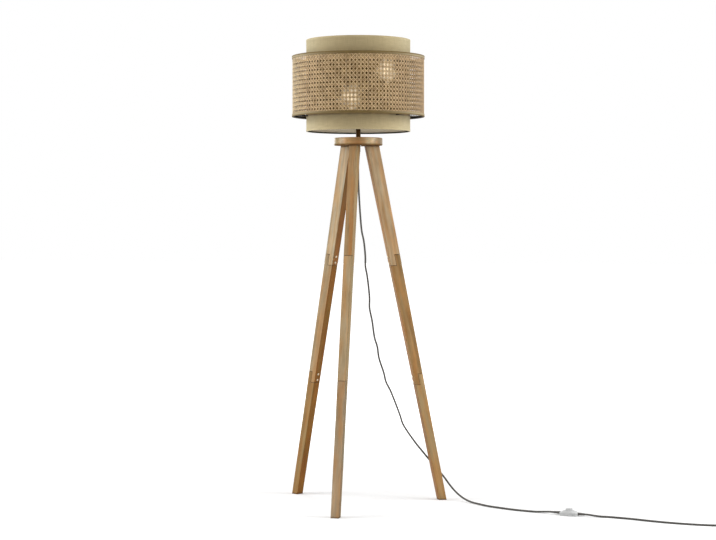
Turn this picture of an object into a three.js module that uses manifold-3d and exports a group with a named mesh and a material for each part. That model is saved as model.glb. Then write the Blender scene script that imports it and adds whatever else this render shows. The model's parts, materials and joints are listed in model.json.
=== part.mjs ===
// Rattan floor lamp: three sectioned wooden legs under a round wooden head, a tall fabric drum inside
// a shorter drum of cane webbing, and a textile cord with a foot switch and a two-pin plug.
// Millimetres, +Z up. The origin lies on the floor, under the middle of the lamp's own box: the front
// leg points to -Y, and the lamp's axis stands a little behind the origin.

import * as THREE from 'three';
import { mergeVertices } from 'three/addons/utils/BufferGeometryUtils.js';
import Module from 'manifold-3d';

const wasm = await Module();
wasm.setup();

// Clearances
const fitGap = 0.3; // between two pieces that touch
const cutOverrun = 2; // how far a cut runs past the face that it leaves

// Facets round the large, middle and small round forms
const largeFacets = 40;
const middleFacets = 20;
const smallFacets = 8;
const wireFacets = 5;
const springFacets = 5;
const springStepsPerTurn = 8;

// Overall height, and the drums
const lampHeight = 1500;
const innerDrumRadius = 166.5;
const innerDrumHeight = 294;
const coverThickness = 0.7;
const linerThickness = 0.8;
const caneDrumRadius = 213;
const caneDrumHeight = 195;
const caneDrumDrop = 52; // from the lamp's top down to the cane drum's top
const webThickness = 2.2;
const webRows = 5; // rows of openings in the webbing, each with largeFacets openings
const webStrut = 9; // webbing left between two openings
const trimHeight = 9;
const trimThickness = 0.8;
const wireRadius = 2;

// Head
const headGap = 20.6; // open height between the head and the inner drum
const headRadius = 77;
const headThickness = 24;
const headChamfer = 1.6;

// Legs: their outer faces are placed by their distance from the lamp's axis at the top and at the foot
const legSides = ['front', 'right', 'left'];
const legTopRadius = 66.1;
const legTopWidth = 41.3;
const legFootRadius = 297.9;
const legFootWidth = 23.7;
const legThickness = 23.8;
const legArris = 1;
const lapLength = 36;
const lapHeightShares = [0.344, 0.6807]; // heights of the two lap joints, as shares of the leg's height

// Screws through the lap joints, with their heads on the legs' inward faces
const lapScrewSpacing = 19;
const lapScrewLift = 0.8; // of the pair's middle above the middle of the lap
const lapScrewRadius = 1.7;
const lapScrewHeadRadius = 3.9;
const lapScrewHeadHeight = 2.2;
const lapScrewPointLength = 3;
const lapScrewDepthShare = 0.62; // of the leg's width at the screw
const lapScrewHeadShares = [[0, 1], [0.5, 0.88], [1, 0.35], [1, 0]]; // of the head's radius and height

// Bolts through the head into the tops of the legs
const headBoltRadius = 3;
const headBoltHeadRadius = 6;
const headBoltHeadHeight = 3.6;
const headBoltSocketRadius = 2.4;
const headBoltSocketDepth = 2;
const headBoltSunk = 0.8; // how far its head lies under the head's top face
const headBoltDepth = 38; // how far it reaches into the leg

// Threaded stem through the head, its sleeve, and what holds it below
const stemRadius = 5;
const stemBoreRadius = 4;
const sleeveRadius = 6.3;
const washerRadius = 11;
const washerThickness = 1.5;
const nutRadius = 8.1; // to the corners of the hexagon
const nutHeight = 5;
const stemReachBelowNut = 9;

// Cord grip on the lower end of the stem
const gripRadius = 8;
const gripBodyLength = 13;
const gripTaperLength = 26;
const gripNeckRadius = 6.4;
const gripTipRadius = 4.2;
const gripRibs = 4;
const gripRibDepth = 0.5;
const gripRibShares = [[0.3, 0], [0.4, 1], [0.7, 1], [0.8, 0]]; // of a rib's pitch and depth

// Lampholder
const holderRise = 30.6; // from the head's top to the holder's foot
const holderNeckRadius = 8.5;
const holderNeckHeight = 7;
const holderCapHeight = 20;
const holderRadius = 19.6;
const holderWall = 2;
const holderSkirtHeight = 36;
const holderFlangeRadius = 24;
const holderFlangeHeight = 2.4;
const holderFlangeRise = 5; // from the skirt's foot to the flange
const holderBoreRadius = 13.6;
const holderInsertHeight = 10;
const contactWidth = 5;
const contactThickness = 0.8;
const contactLift = 3;
const stemInHolder = 12; // how far the stem reaches into the holder's cap

// Fitter ring, spokes and the threaded ring that clamps them
const fitterRadius = 28;
const fitterThickness = 2;
const clampRingRadius = 25.5;
const clampRingHeight = 8;
const clampRingLugs = 12;
const clampRingLugDepth = 1.2;
const spokeCount = 3;

// Cord, and the place on the floor of the switch and the coil, measured from the lamp's axis
const cordRadius = 3;
const cordFacets = 8;
const upperCordSteps = 52;
const lowerCordSteps = 18;
const floorLift = 0.2; // under a cord that lies on the floor
const switchX = 695;
const switchY = -66.5;
const switchTurnDeg = -12;
const coilX = 1202;
const coilEntryY = -154.5;

// Foot switch
const switchLength = 60;
const switchWidth = 34;
const switchSplit = 7; // height of the joint between base and cover, and of the cord in it
const switchHeight = 16.5;
const switchWall = 2;
const switchPower = 3.4; // squareness of the plan outline
const coverBossShare = 0.5; // of the cover's rise
// The cover rises from its ends to the button in a shallow dome: shares of its rise above the joint, of
// its half length and of its half width.
const coverStationShares = [
  [0, 1, 1], [0.2, 0.985, 0.99], [0.42, 0.9, 0.97], [0.7, 0.74, 0.94], [0.9, 0.59, 0.9], [1, 0.52, 0.87],
];
const buttonRadius = 11;
const buttonHeight = 23; // of its top above the floor
const buttonTravel = 3;
const buttonFlange = 1.2; // how far its flange stands out
const buttonFlangeHeight = 1.8;
const buttonWall = 2;
const buttonCrown = 1.2;
const springRadius = 4.6;
const springWireRadius = 0.6;
const springTurns = 5;
const coreLength = 26;
const coreWidth = 17;
const pressClearance = 1.5; // between the pressed button and the core
const sleeveLength = 20;
const sleeveRootRadius = 4.6;
const sleeveTipRadius = 3.7;
const sleeveNeckRadius = 3.9;
const sleeveFlangeRadius = 4.7;
const sleeveFlangeLength = 1.2;
const switchScrewSpacing = 40;
const switchScrewRadius = 1.3;
const switchScrewHeadRadius = 2.7;
const switchScrewHeadHeight = 1.6;
const switchBossWall = 1.9;
const switchScrewLength = 8.5;

// Coil of spare cord and its tie
const coilMeanRadius = 33.6;
const coilTurns = 4.25;
const coilSpacing = 0.8; // clear gap between neighbouring turns
const coilStepsPerTurn = 24;
const coilFacets = 6;
const gapChecksPerStep = 4;
const coilMeasureSteps = 2000;
const tieThickness = 0.8;
const tieWidth = 7;
const tieGap = 0.6;
const tieTurnDeg = 180;
const tailLength = 34; // from the last turn to the plug

// Plug
const plugWidth = 35.3;
const plugThickness = 13.7;
const plugBodyLength = 37;
const plugReliefLength = 26;
const plugReliefRootRadius = 5.2;
const plugReliefTipRadius = 3.8;
const plugReliefRoot = 2; // how far the relief runs on inside the body
const plugPower = 3.6;
// Stations along the body: shares of its length, its half width and its half thickness.
const plugStationShares = [
  [0, 0.34, 0.84], [0.18, 0.62, 0.96], [0.42, 0.92, 1], [0.62, 1, 1], [0.97, 1, 1], [1, 0.96, 0.92],
];
const pinRadius = 2;
const pinLength = 19;
const pinSpacing = 18.8;
const pinSeat = 6; // how far a pin reaches into the body
const pinSleeveLength = 10;
const pinSleeveInset = 0.2;

// Heights and places that follow from the sizes above
const innerDrumBottom = lampHeight - innerDrumHeight;
const caneDrumTop = lampHeight - caneDrumDrop;
const caneDrumBottom = caneDrumTop - caneDrumHeight;
const headTop = innerDrumBottom - headGap;
const headBottom = headTop - headThickness;
const legHeight = headBottom - fitGap;
const axisY = (legFootRadius - caneDrumRadius) / 2;
const linerRadius = innerDrumRadius - coverThickness - fitGap;
const innerRingRadius = linerRadius - linerThickness - fitGap - wireRadius;
const flatShare = Math.cos(Math.PI / largeFacets); // of a large ring's flats, in its corners' radius
const webRadius = (caneDrumRadius - trimThickness) * flatShare - fitGap;
const caneRingRadius = (webRadius - webThickness) * flatShare - fitGap - wireRadius;
const holderBottom = headTop + holderRise;
const skirtBottom = holderBottom + holderCapHeight + fitGap;
const flangeTop = skirtBottom + holderFlangeRise + holderFlangeHeight;
const fitterBottom = flangeTop + fitGap;
const clampRingBottom = fitterBottom + fitterThickness + fitGap;
const stemTop = holderBottom + stemInHolder;
const washerTop = headBottom - fitGap;
const nutTop = washerTop - washerThickness - fitGap;
const nutBottom = nutTop - nutHeight;
const stemBottom = nutBottom - stemReachBelowNut;
const gripTop = nutBottom - fitGap;
const cordExit = gripTop - gripBodyLength - gripTaperLength - fitGap;
const buttonFlangeTop = switchHeight - switchWall - fitGap;
const buttonBottom = buttonFlangeTop - buttonFlangeHeight;
const coreTop = buttonBottom - buttonTravel - pressClearance;
const coilPitch = 2 * cordRadius + coilSpacing;
const coilLowLayer = cordRadius + tieGap + tieThickness + floorLift;
const coilHighLayer = coilLowLayer + coilPitch;
const coilAngle = coilTurns * 2 * Math.PI;
const coilOuterRadius = coilMeanRadius + (coilPitch * coilTurns) / 4;
const coilY = coilEntryY + coilOuterRadius;
const plugAxisHeight = plugThickness / 2 + floorLift;

// Colours and finishes
const finish = (color, roughness, metalness = 0) =>
  new THREE.MeshStandardMaterial({ color, roughness, metalness });
const paleWood = finish(0xb8936a, 0.6);
const warmWood = finish(0xab8052, 0.6);
const headWood = finish(0xb4875c, 0.55);
const sageFabric = finish(0xa59a72, 0.95);
const whiteLining = finish(0xe9e7e0, 0.7);
const cane = finish(0xc19d6c, 0.7);
const blackWire = finish(0x2a2724, 0.5, 0.6);
const bronze = finish(0x3a2f26, 0.4, 0.8);
const brass = finish(0xcfae6e, 0.35, 1);
const steel = finish(0xb9bbbd, 0.35, 1);
const blackPlastic = finish(0x1f1e1d, 0.5);
const whiteCeramic = finish(0xefece4, 0.35);
const greyTextile = finish(0x6f6b60, 0.9);
const greyRubber = finish(0x5b584f, 0.7);
const clearWhitePlastic = finish(0xdcdcdb, 0.3);

const radians = THREE.MathUtils.degToRad;

// A closed geometry with its shared corners merged, its slivers dropped and its faces turned outwards.
function welded(geometry) {
  const bare = new THREE.BufferGeometry();
  bare.setAttribute('position', geometry.getAttribute('position').clone());
  if (geometry.index) bare.setIndex(geometry.index.clone());
  const merged = mergeVertices(bare);
  const corner = (i) => new THREE.Vector3().fromBufferAttribute(merged.attributes.position, i);
  const kept = [];
  let volume = 0;
  for (let i = 0; i < merged.index.count; i += 3) {
    const [a, b, c] = [0, 1, 2].map((k) => merged.index.getX(i + k));
    if (a === b || b === c || c === a) continue;
    volume += corner(a).dot(corner(b).cross(corner(c)));
    kept.push([a, b, c]);
  }
  const order = kept.map(([a, b, c]) => (volume < 0 ? [a, c, b] : [a, b, c]));
  merged.setIndex(order.flat());
  merged.computeVertexNormals();
  return merged;
}

function solidOf(geometry) {
  const closed = welded(geometry);
  const vertProperties = Float32Array.from(closed.attributes.position.array);
  const triVerts = Uint32Array.from(closed.index.array);
  return new wasm.Manifold(new wasm.Mesh({ numProp: 3, vertProperties, triVerts }));
}

function geometryOf(solid) {
  const mesh = solid.getMesh();
  const geometry = new THREE.BufferGeometry();
  geometry.setAttribute('position', new THREE.BufferAttribute(Float32Array.from(mesh.vertProperties), 3));
  geometry.setIndex(new THREE.BufferAttribute(Uint32Array.from(mesh.triVerts), 1));
  return geometry;
}

function cut(geometry, ...tools) {
  let solid = solidOf(geometry);
  for (const tool of tools) solid = solid.subtract(solidOf(tool));
  return geometryOf(solid);
}

function join(geometry, ...others) {
  let solid = solidOf(geometry);
  for (const other of others) solid = solid.add(solidOf(other));
  return geometryOf(solid);
}

// A profile of [radius, height] points turned round the Z axis.
function turned(profile, facets) {
  const points = profile.map(([radius, height]) => new THREE.Vector2(radius, height));
  return new THREE.LatheGeometry(points, facets).rotateX(Math.PI / 2);
}

// A ring of rectangular section between two radii and two heights.
function band(innerRadius, outerRadius, bottom, top, facets) {
  const profile = [[innerRadius, bottom], [outerRadius, bottom], [outerRadius, top], [innerRadius, top]];
  return turned([...profile, profile[0]], facets);
}

// A closed ring of round wire.
function wireRing(radius, height, facets) {
  const profile = [];
  for (let i = 0; i <= wireFacets; i += 1) {
    const angle = (i / wireFacets) * 2 * Math.PI;
    profile.push([radius + wireRadius * Math.cos(angle), height + wireRadius * Math.sin(angle)]);
  }
  profile[wireFacets] = profile[0];
  return turned(profile, facets);
}

// A round bar between two points.
function bar(from, to, radius, facets) {
  const run = new THREE.Vector3().subVectors(to, from);
  const geometry = new THREE.CylinderGeometry(radius, radius, run.length(), facets);
  geometry.translate(0, run.length() / 2, 0);
  const turn = new THREE.Quaternion().setFromUnitVectors(new THREE.Vector3(0, 1, 0), run.normalize());
  return geometry.applyQuaternion(turn).translate(from.x, from.y, from.z);
}

// A closed body through rounded cross-sections: each station is [height, half width x, half width y].
function lofted(stations, power, facets) {
  const positions = [];
  const rounded = (value) => Math.sign(value) * Math.abs(value) ** (2 / power);
  for (const [height, halfX, halfY] of stations) {
    for (let i = 0; i < facets; i += 1) {
      const angle = (i / facets) * 2 * Math.PI;
      positions.push(halfX * rounded(Math.cos(angle)), halfY * rounded(Math.sin(angle)), height);
    }
  }
  const index = [];
  for (let k = 0; k + 1 < stations.length; k += 1) {
    for (let i = 0; i < facets; i += 1) {
      const [a, b] = [k * facets + i, k * facets + ((i + 1) % facets)];
      index.push(a, b, b + facets, a, b + facets, a + facets);
    }
  }
  for (const k of [0, stations.length - 1]) {
    for (let i = 1; i + 1 < facets; i += 1) {
      const [a, b, c] = [k * facets, k * facets + i, k * facets + i + 1];
      if (k) index.push(a, b, c);
      else index.push(a, c, b);
    }
  }
  const geometry = new THREE.BufferGeometry();
  geometry.setAttribute('position', new THREE.Float32BufferAttribute(positions, 3));
  geometry.setIndex(index);
  return geometry;
}

// A round tube along a curve.
function tube(curve, radius, facets, steps) {
  const section = new THREE.Shape();
  for (let i = 0; i < facets; i += 1) {
    const angle = (i / facets) * 2 * Math.PI;
    const [x, y] = [radius * Math.cos(angle), radius * Math.sin(angle)];
    if (i) section.lineTo(x, y);
    else section.moveTo(x, y);
  }
  section.closePath();
  return new THREE.ExtrudeGeometry(section, { steps, extrudePath: curve, bevelEnabled: false });
}

const lamp = new THREE.Group();
lamp.name = 'rattan_floor_lamp';
const axis = new THREE.Group();
axis.position.y = axisY;
lamp.add(axis);

function place(name, geometry, material, parent = axis) {
  const mesh = new THREE.Mesh(welded(geometry), material);
  mesh.name = name;
  parent.add(mesh);
  return mesh;
}

// The legs stand evenly round the axis, the first one to the front.
const legTurn = (side) => (legSides.indexOf(side) / legSides.length) * 2 * Math.PI - Math.PI / 2;

// Head: a turned disc with a hole for the stem and three stepped holes for the leg bolts.
const headBoltRadiusFromAxis = legTopRadius - legTopWidth / 2;
const headBoltSeat = headTop - headBoltSunk - headBoltHeadHeight - fitGap;

function headDisc() {
  const disc = turned([
    [0, headBottom], [headRadius - headChamfer, headBottom], [headRadius, headBottom + headChamfer],
    [headRadius, headTop - headChamfer], [headRadius - headChamfer, headTop], [0, headTop],
  ], largeFacets);
  const below = headBottom - cutOverrun;
  const above = headTop + cutOverrun;
  const stemHole = stemRadius + fitGap;
  const cuts = [turned([[0, below], [stemHole, below], [stemHole, above], [0, above]], smallFacets)];
  for (const side of legSides) {
    const hole = turned([
      [0, below], [headBoltRadius + fitGap, below], [headBoltRadius + fitGap, headBoltSeat],
      [headBoltHeadRadius + fitGap, headBoltSeat], [headBoltHeadRadius + fitGap, above], [0, above],
    ], smallFacets);
    cuts.push(hole.translate(headBoltRadiusFromAxis, 0, 0).rotateZ(legTurn(side)));
  }
  return cut(disc, ...cuts);
}

function headBolt() {
  const head = headBoltSeat + fitGap;
  const headTopFace = head + headBoltHeadHeight;
  return turned([
    [0, headBottom - headBoltDepth], [headBoltRadius, headBottom - headBoltDepth], [headBoltRadius, head],
    [headBoltHeadRadius, head], [headBoltHeadRadius, headTopFace], [headBoltSocketRadius, headTopFace],
    [headBoltSocketRadius, headTopFace - headBoltSocketDepth], [0, headTopFace - headBoltSocketDepth],
  ], smallFacets);
}

// Legs: straight tapering bars. Each face's distance from the axis runs evenly from foot to top.
const along = (foot, top, height) => foot + ((top - foot) * height) / headBottom;
const innerFace = (height) => along(legFootRadius - legFootWidth, legTopRadius - legTopWidth, height);
const outerFace = (height) => along(legFootRadius, legTopRadius, height);
const lapPlane = (height) => (innerFace(height) + outerFace(height)) / 2;
const legTilt = Math.atan2(lapPlane(0) - lapPlane(headBottom), headBottom);
const acrossLeg = new THREE.Vector3(Math.cos(legTilt), 0, Math.sin(legTilt));
const lapHeights = lapHeightShares.map((share) => share * headBottom);

// The side outline of one section. The piece above keeps the inner half of a lap, and the one below
// keeps the outer half, so that the joint's two end cuts lie a lap's length apart.
function legOutline(lapBelow, lapAbove) {
  const points = [];
  const half = fitGap / 2;
  const reach = lapLength / 2;
  if (lapBelow) {
    const [tongue, shoulder] = [lapBelow - reach + half, lapBelow + reach + half];
    points.push([innerFace(tongue), tongue], [lapPlane(tongue) - half, tongue]);
    points.push([lapPlane(shoulder) - half, shoulder], [outerFace(shoulder), shoulder]);
  } else {
    points.push([innerFace(0), 0], [outerFace(0), 0]);
  }
  if (lapAbove) {
    const [shoulder, tongue] = [lapAbove - reach - half, lapAbove + reach - half];
    points.push([outerFace(tongue), tongue], [lapPlane(tongue) + half, tongue]);
    points.push([lapPlane(shoulder) + half, shoulder], [innerFace(shoulder), shoulder]);
  } else {
    points.push([outerFace(legHeight), legHeight], [innerFace(legHeight), legHeight]);
  }
  return points;
}

function lapScrewHeights(lap) {
  const middle = lap + lapScrewLift;
  return [middle + lapScrewSpacing / 2, middle - lapScrewSpacing / 2];
}

function lapScrewDepth(height) {
  return lapScrewDepthShare * (outerFace(height) - innerFace(height));
}

function legSection(lapBelow, lapAbove) {
  const outline = legOutline(lapBelow, lapAbove);
  const side = new THREE.Shape(outline.map(([radius, height]) => new THREE.Vector2(radius, height)));
  const block = new THREE.ExtrudeGeometry(side, {
    depth: legThickness - 2 * legArris,
    bevelSize: legArris,
    bevelThickness: legArris,
    bevelOffset: -legArris,
    bevelSegments: 1,
  });
  block.rotateX(Math.PI / 2).translate(0, legThickness / 2 - legArris, 0);
  const bores = [];
  for (const lap of [lapBelow, lapAbove]) {
    for (const height of lap ? lapScrewHeights(lap) : []) {
      const mouth = new THREE.Vector3(innerFace(height), 0, height);
      const from = mouth.clone().addScaledVector(acrossLeg, -cutOverrun);
      const to = mouth.clone().addScaledVector(acrossLeg, lapScrewDepth(height) + fitGap);
      bores.push(bar(from, to, lapScrewRadius + fitGap, smallFacets));
    }
  }
  if (!lapAbove) {
    const top = new THREE.Vector3(headBoltRadiusFromAxis, 0, headBottom + cutOverrun);
    const bottom = new THREE.Vector3(headBoltRadiusFromAxis, 0, headBottom - headBoltDepth - fitGap);
    bores.push(bar(top, bottom, headBoltRadius + fitGap, smallFacets));
  }
  return cut(block, ...bores);
}

// A domed screw along the line across the leg, from its inward face.
function lapScrew(height) {
  const depth = lapScrewDepth(height);
  const head = lapScrewHeadShares.map(([out, up]) => [
    lapScrewHeadRadius * out,
    -fitGap - lapScrewHeadHeight * up,
  ]);
  const screw = turned([
    ...head, [lapScrewRadius, -fitGap], [lapScrewRadius, depth - lapScrewPointLength], [0, depth],
  ], smallFacets);
  screw.rotateY(Math.PI / 2 - legTilt);
  return screw.translate(innerFace(height), 0, height);
}

function addLegs() {
  const [lowLap, highLap] = lapHeights;
  const sections = {
    upper: [legSection(highLap, 0), paleWood],
    middle: [legSection(lowLap, highLap), warmWood],
    lower: [legSection(0, lowLap), warmWood],
  };
  for (const side of legSides) {
    const leg = new THREE.Group();
    leg.rotation.z = legTurn(side);
    axis.add(leg);
    for (const [part, [geometry, material]] of Object.entries(sections)) {
      place(`leg_${side}_${part}`, geometry, material, leg);
    }
    lapHeights.forEach((lap, joint) => {
      lapScrewHeights(lap).forEach((height, k) => {
        const name = `lap_screw_${side}_${joint ? 'high' : 'low'}_${k ? 'b' : 'a'}`;
        place(name, lapScrew(height), brass, leg);
      });
    });
    place(`head_bolt_${side}`, headBolt().translate(headBoltRadiusFromAxis, 0, 0), steel, leg);
  }
}

// Stem: a threaded pipe, its sleeve above the head, and the washer and nut below it.
function hexagonNut() {
  const corners = [];
  for (let i = 0; i < 6; i += 1) {
    const angle = (i / 6) * 2 * Math.PI;
    corners.push(new THREE.Vector2(nutRadius * Math.cos(angle), nutRadius * Math.sin(angle)));
  }
  const shape = new THREE.Shape(corners);
  shape.holes.push(new THREE.Path().absarc(0, 0, stemRadius + fitGap, 0, 2 * Math.PI, true));
  const nut = new THREE.ExtrudeGeometry(shape, {
    depth: nutHeight,
    bevelEnabled: false,
    curveSegments: smallFacets / 2,
  });
  return nut.translate(0, 0, nutBottom);
}

function addStem() {
  const bore = stemRadius + fitGap;
  place('stem_pipe', band(stemBoreRadius, stemRadius, stemBottom, stemTop, smallFacets), steel);
  const sleeveTop = holderBottom - fitGap;
  place('stem_sleeve', band(bore, sleeveRadius, headTop + fitGap, sleeveTop, middleFacets), bronze);
  const washerBottom = washerTop - washerThickness;
  place('stem_washer', band(bore, washerRadius, washerBottom, washerTop, smallFacets * 2), steel);
  place('stem_nut', hexagonNut(), steel);
}

// Cord grip: a cap on the pipe's lower end with a ribbed taper that the cord leaves.
function cordGrip() {
  const shoulder = gripTop - gripBodyLength;
  const tip = shoulder - gripTaperLength;
  const seat = stemBottom - fitGap;
  const profile = [[0, tip], [gripTipRadius, tip]];
  for (let i = 0; i < gripRibs; i += 1) {
    for (const [pitchShare, depthShare] of gripRibShares) {
      const upShare = (i + pitchShare) / gripRibs;
      const radius = gripTipRadius + (gripNeckRadius - gripTipRadius) * upShare;
      profile.push([radius - gripRibDepth * depthShare, tip + gripTaperLength * upShare]);
    }
  }
  profile.push([gripNeckRadius, shoulder], [gripRadius, shoulder], [gripRadius, gripTop]);
  profile.push([stemRadius + fitGap, gripTop], [stemRadius + fitGap, seat], [0, seat]);
  return turned(profile, smallFacets);
}

// Lampholder: a cap on the pipe, a skirt with the flange that carries the shades, an insert, a contact.
function holderCap() {
  const neckTop = holderBottom + holderNeckHeight;
  const top = holderBottom + holderCapHeight;
  const shoulder = (neckTop + top) / 2;
  return turned([
    [stemRadius + fitGap, holderBottom], [holderNeckRadius, holderBottom], [holderNeckRadius, neckTop],
    [holderRadius - holderWall, neckTop + holderWall], [holderRadius, shoulder], [holderRadius, top],
    [holderRadius - holderWall, top], [holderRadius - holderWall, shoulder],
    [holderNeckRadius, neckTop + 2 * holderWall], [stemRadius + fitGap, neckTop + holderWall],
    [stemRadius + fitGap, holderBottom],
  ], middleFacets);
}

function holderSkirt() {
  const top = skirtBottom + holderSkirtHeight;
  const flangeBottom = flangeTop - holderFlangeHeight;
  const pocketTop = skirtBottom + holderInsertHeight + fitGap;
  const pocket = holderRadius - holderWall;
  const lip = holderWall / 2;
  return turned([
    [pocket, skirtBottom], [holderRadius, skirtBottom], [holderRadius, flangeBottom],
    [holderFlangeRadius, flangeBottom], [holderFlangeRadius, flangeTop], [holderRadius, flangeTop],
    [holderRadius, top - lip], [holderRadius - lip, top], [holderBoreRadius, top],
    [holderBoreRadius, pocketTop], [pocket, pocketTop], [pocket, skirtBottom],
  ], middleFacets);
}

function holderInsert() {
  const radius = holderRadius - holderWall - fitGap;
  const top = skirtBottom + holderInsertHeight;
  const boss = holderBoreRadius - 2 * fitGap;
  return turned([
    [0, skirtBottom], [radius, skirtBottom], [radius, top - holderWall], [boss, top - holderWall],
    [boss, top], [0, top],
  ], middleFacets);
}

function holderContact() {
  const top = skirtBottom + holderInsertHeight + fitGap;
  const reach = holderBoreRadius / 2;
  const points = [
    [-reach, 0], [reach / 2, 0], [reach, contactLift], [reach - contactThickness, contactLift],
    [reach / 2 - contactThickness, contactThickness], [-reach, contactThickness],
  ];
  const strip = new THREE.Shape(points.map(([x, z]) => new THREE.Vector2(x, z)));
  const contact = new THREE.ExtrudeGeometry(strip, { depth: contactWidth, bevelEnabled: false });
  return contact.rotateX(Math.PI / 2).translate(0, contactWidth / 2, top);
}

// The threaded ring has a lobed rim for the fingers.
function clampRing() {
  const rim = [];
  const steps = clampRingLugs * 4;
  for (let i = 0; i < steps; i += 1) {
    const angle = (i / steps) * 2 * Math.PI;
    const radius = clampRingRadius - (i % 4 < 2 ? 0 : clampRingLugDepth);
    rim.push(new THREE.Vector2(radius * Math.cos(angle), radius * Math.sin(angle)));
  }
  const shape = new THREE.Shape(rim);
  shape.holes.push(new THREE.Path().absarc(0, 0, holderRadius + fitGap, 0, 2 * Math.PI, true));
  const ring = new THREE.ExtrudeGeometry(shape, {
    depth: clampRingHeight,
    bevelEnabled: false,
    curveSegments: middleFacets / 2,
  });
  return ring.translate(0, 0, clampRingBottom);
}

function addHolder() {
  place('holder_cap', holderCap(), blackPlastic);
  place('holder_skirt', holderSkirt(), blackPlastic);
  place('holder_insert', holderInsert(), whiteCeramic);
  place('holder_contact', holderContact(), brass);
  place('clamp_ring', clampRing(), blackPlastic);
}

// Shade frame: the fitter ring on the lampholder, three spokes through the inner drum's wall, and the
// cane drum's lower ring at their ends, welded into one.
const spokeFrom = new THREE.Vector3(fitterRadius - wireRadius, 0, fitterBottom + fitterThickness / 2);
const spokeTo = new THREE.Vector3(caneRingRadius, 0, caneDrumBottom + 2 * wireRadius);

// The three spokes stand evenly round the axis, the first one to the back.
function spokeBars(radius) {
  const turns = Array.from({ length: spokeCount }, (_, i) => (i / spokeCount) * 2 * Math.PI + Math.PI / 2);
  return turns.map((turn) => bar(spokeFrom, spokeTo, radius, smallFacets).rotateZ(turn));
}

function shadeFrame() {
  const bore = holderRadius + fitGap;
  const fitter = band(bore, fitterRadius, fitterBottom, fitterBottom + fitterThickness, middleFacets);
  return join(wireRing(caneRingRadius, spokeTo.z, largeFacets), fitter, ...spokeBars(wireRadius));
}

// Cane webbing: a band with rows of openings all round, and a solid strip behind each trim. Its corners
// stand only at the corners of the openings.
function caneWeb() {
  const columnTurn = (2 * Math.PI) / largeFacets;
  const strutTurn = webStrut / webRadius;
  const turns = [];
  for (let column = 0; column < largeFacets; column += 1) {
    turns.push(column * columnTurn + strutTurn / 2, (column + 1) * columnTurn - strutTurn / 2);
  }
  const rowPitch = (caneDrumHeight - 2 * trimHeight) / webRows;
  const heights = [caneDrumBottom];
  for (let row = 0; row < webRows; row += 1) {
    const rowBottom = caneDrumBottom + trimHeight + row * rowPitch;
    heights.push(rowBottom + webStrut / 2, rowBottom + rowPitch - webStrut / 2);
  }
  heights.push(caneDrumTop);
  const corners = [];
  for (const radius of [webRadius - webThickness, webRadius]) {
    for (const height of heights) {
      for (const turn of turns) corners.push(radius * Math.cos(turn), radius * Math.sin(turn), height);
    }
  }
  const inner = (level, side) => level * turns.length + (side % turns.length);
  const outer = (level, side) => inner(level, side) + heights.length * turns.length;
  const faces = [];
  const quad = (a, b, c, d) => faces.push(a, b, c, a, c, d);
  const upwards = (level, side) =>
    quad(outer(level, side), outer(level, side + 1), inner(level, side + 1), inner(level, side));
  const downwards = (level, side) =>
    quad(inner(level, side), inner(level, side + 1), outer(level, side + 1), outer(level, side));
  const onwards = (level, side) =>
    quad(outer(level, side), inner(level, side), inner(level + 1, side), outer(level + 1, side));
  const backwards = (level, side) =>
    quad(outer(level + 1, side), inner(level + 1, side), inner(level, side), outer(level, side));
  const skin = (at, a, b, level) => quad(at(level, a), at(level, b), at(level + 1, b), at(level + 1, a));
  turns.forEach((_, side) => {
    downwards(0, side);
    upwards(heights.length - 1, side);
    for (let level = 0; level < heights.length - 1; level += 1) {
      if (level % 2 === 1 && side % 2 === 0) {
        upwards(level, side);
        downwards(level + 1, side);
        onwards(level, side);
        backwards(level, side + 1);
      } else {
        skin(outer, side, side + 1, level);
        skin(inner, side + 1, side, level);
      }
    }
  });
  const geometry = new THREE.BufferGeometry();
  geometry.setAttribute('position', new THREE.Float32BufferAttribute(corners, 3));
  geometry.setIndex(faces);
  return geometry;
}

function addShades() {
  place('shade_frame', shadeFrame(), blackWire);
  const holes = () => spokeBars(wireRadius + fitGap);
  const coverInside = innerDrumRadius - coverThickness;
  const cover = band(coverInside, innerDrumRadius, innerDrumBottom, lampHeight, largeFacets);
  place('inner_drum_cover', cut(cover, ...holes()), sageFabric);
  const liner = band(linerRadius - linerThickness, linerRadius, innerDrumBottom, lampHeight, largeFacets);
  place('inner_drum_liner', cut(liner, ...holes()), whiteLining);
  const innerRing = (height) => wireRing(innerRingRadius, height, largeFacets);
  place('inner_ring_top', innerRing(lampHeight - wireRadius), blackWire);
  place('inner_ring_bottom', innerRing(innerDrumBottom + wireRadius), blackWire);
  place('cane_web', caneWeb(), cane);
  place('cane_ring_top', wireRing(caneRingRadius, caneDrumTop - 2 * wireRadius, largeFacets), blackWire);
  const trimInside = caneDrumRadius - trimThickness;
  const trim = (bottom) => band(trimInside, caneDrumRadius, bottom, bottom + trimHeight, largeFacets);
  place('cane_trim_top', trim(caneDrumTop - trimHeight), cane);
  place('cane_trim_bottom', trim(caneDrumBottom), cane);
}

// Foot switch, in its own frame: the cord runs through it along X at the height of its joint.
const switchHalf = switchLength / 2;
const buttonBore = buttonRadius + fitGap;

function switchBase() {
  const [halfX, halfY] = [switchHalf, switchWidth / 2];
  const foot = switchWall / 2;
  const block = lofted([
    [0, halfX - foot, halfY - foot], [foot, halfX, halfY], [switchSplit, halfX, halfY],
  ], switchPower, middleFacets);
  const room = lofted([
    [switchWall, halfX - switchWall, halfY - switchWall],
    [switchSplit + cutOverrun, halfX - switchWall, halfY - switchWall],
  ], switchPower, middleFacets);
  const bosses = switchScrewPlaces().map((x) => {
    const radius = switchScrewRadius + fitGap + switchBossWall;
    const boss = turned([[0, foot], [radius, foot], [radius, switchSplit], [0, switchSplit]], smallFacets);
    return boss.translate(x, 0, 0);
  });
  const body = join(cut(block, room), ...bosses);
  return cut(body, ...switchScrewPlaces().map(switchScrewHole), neckHole());
}

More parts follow.
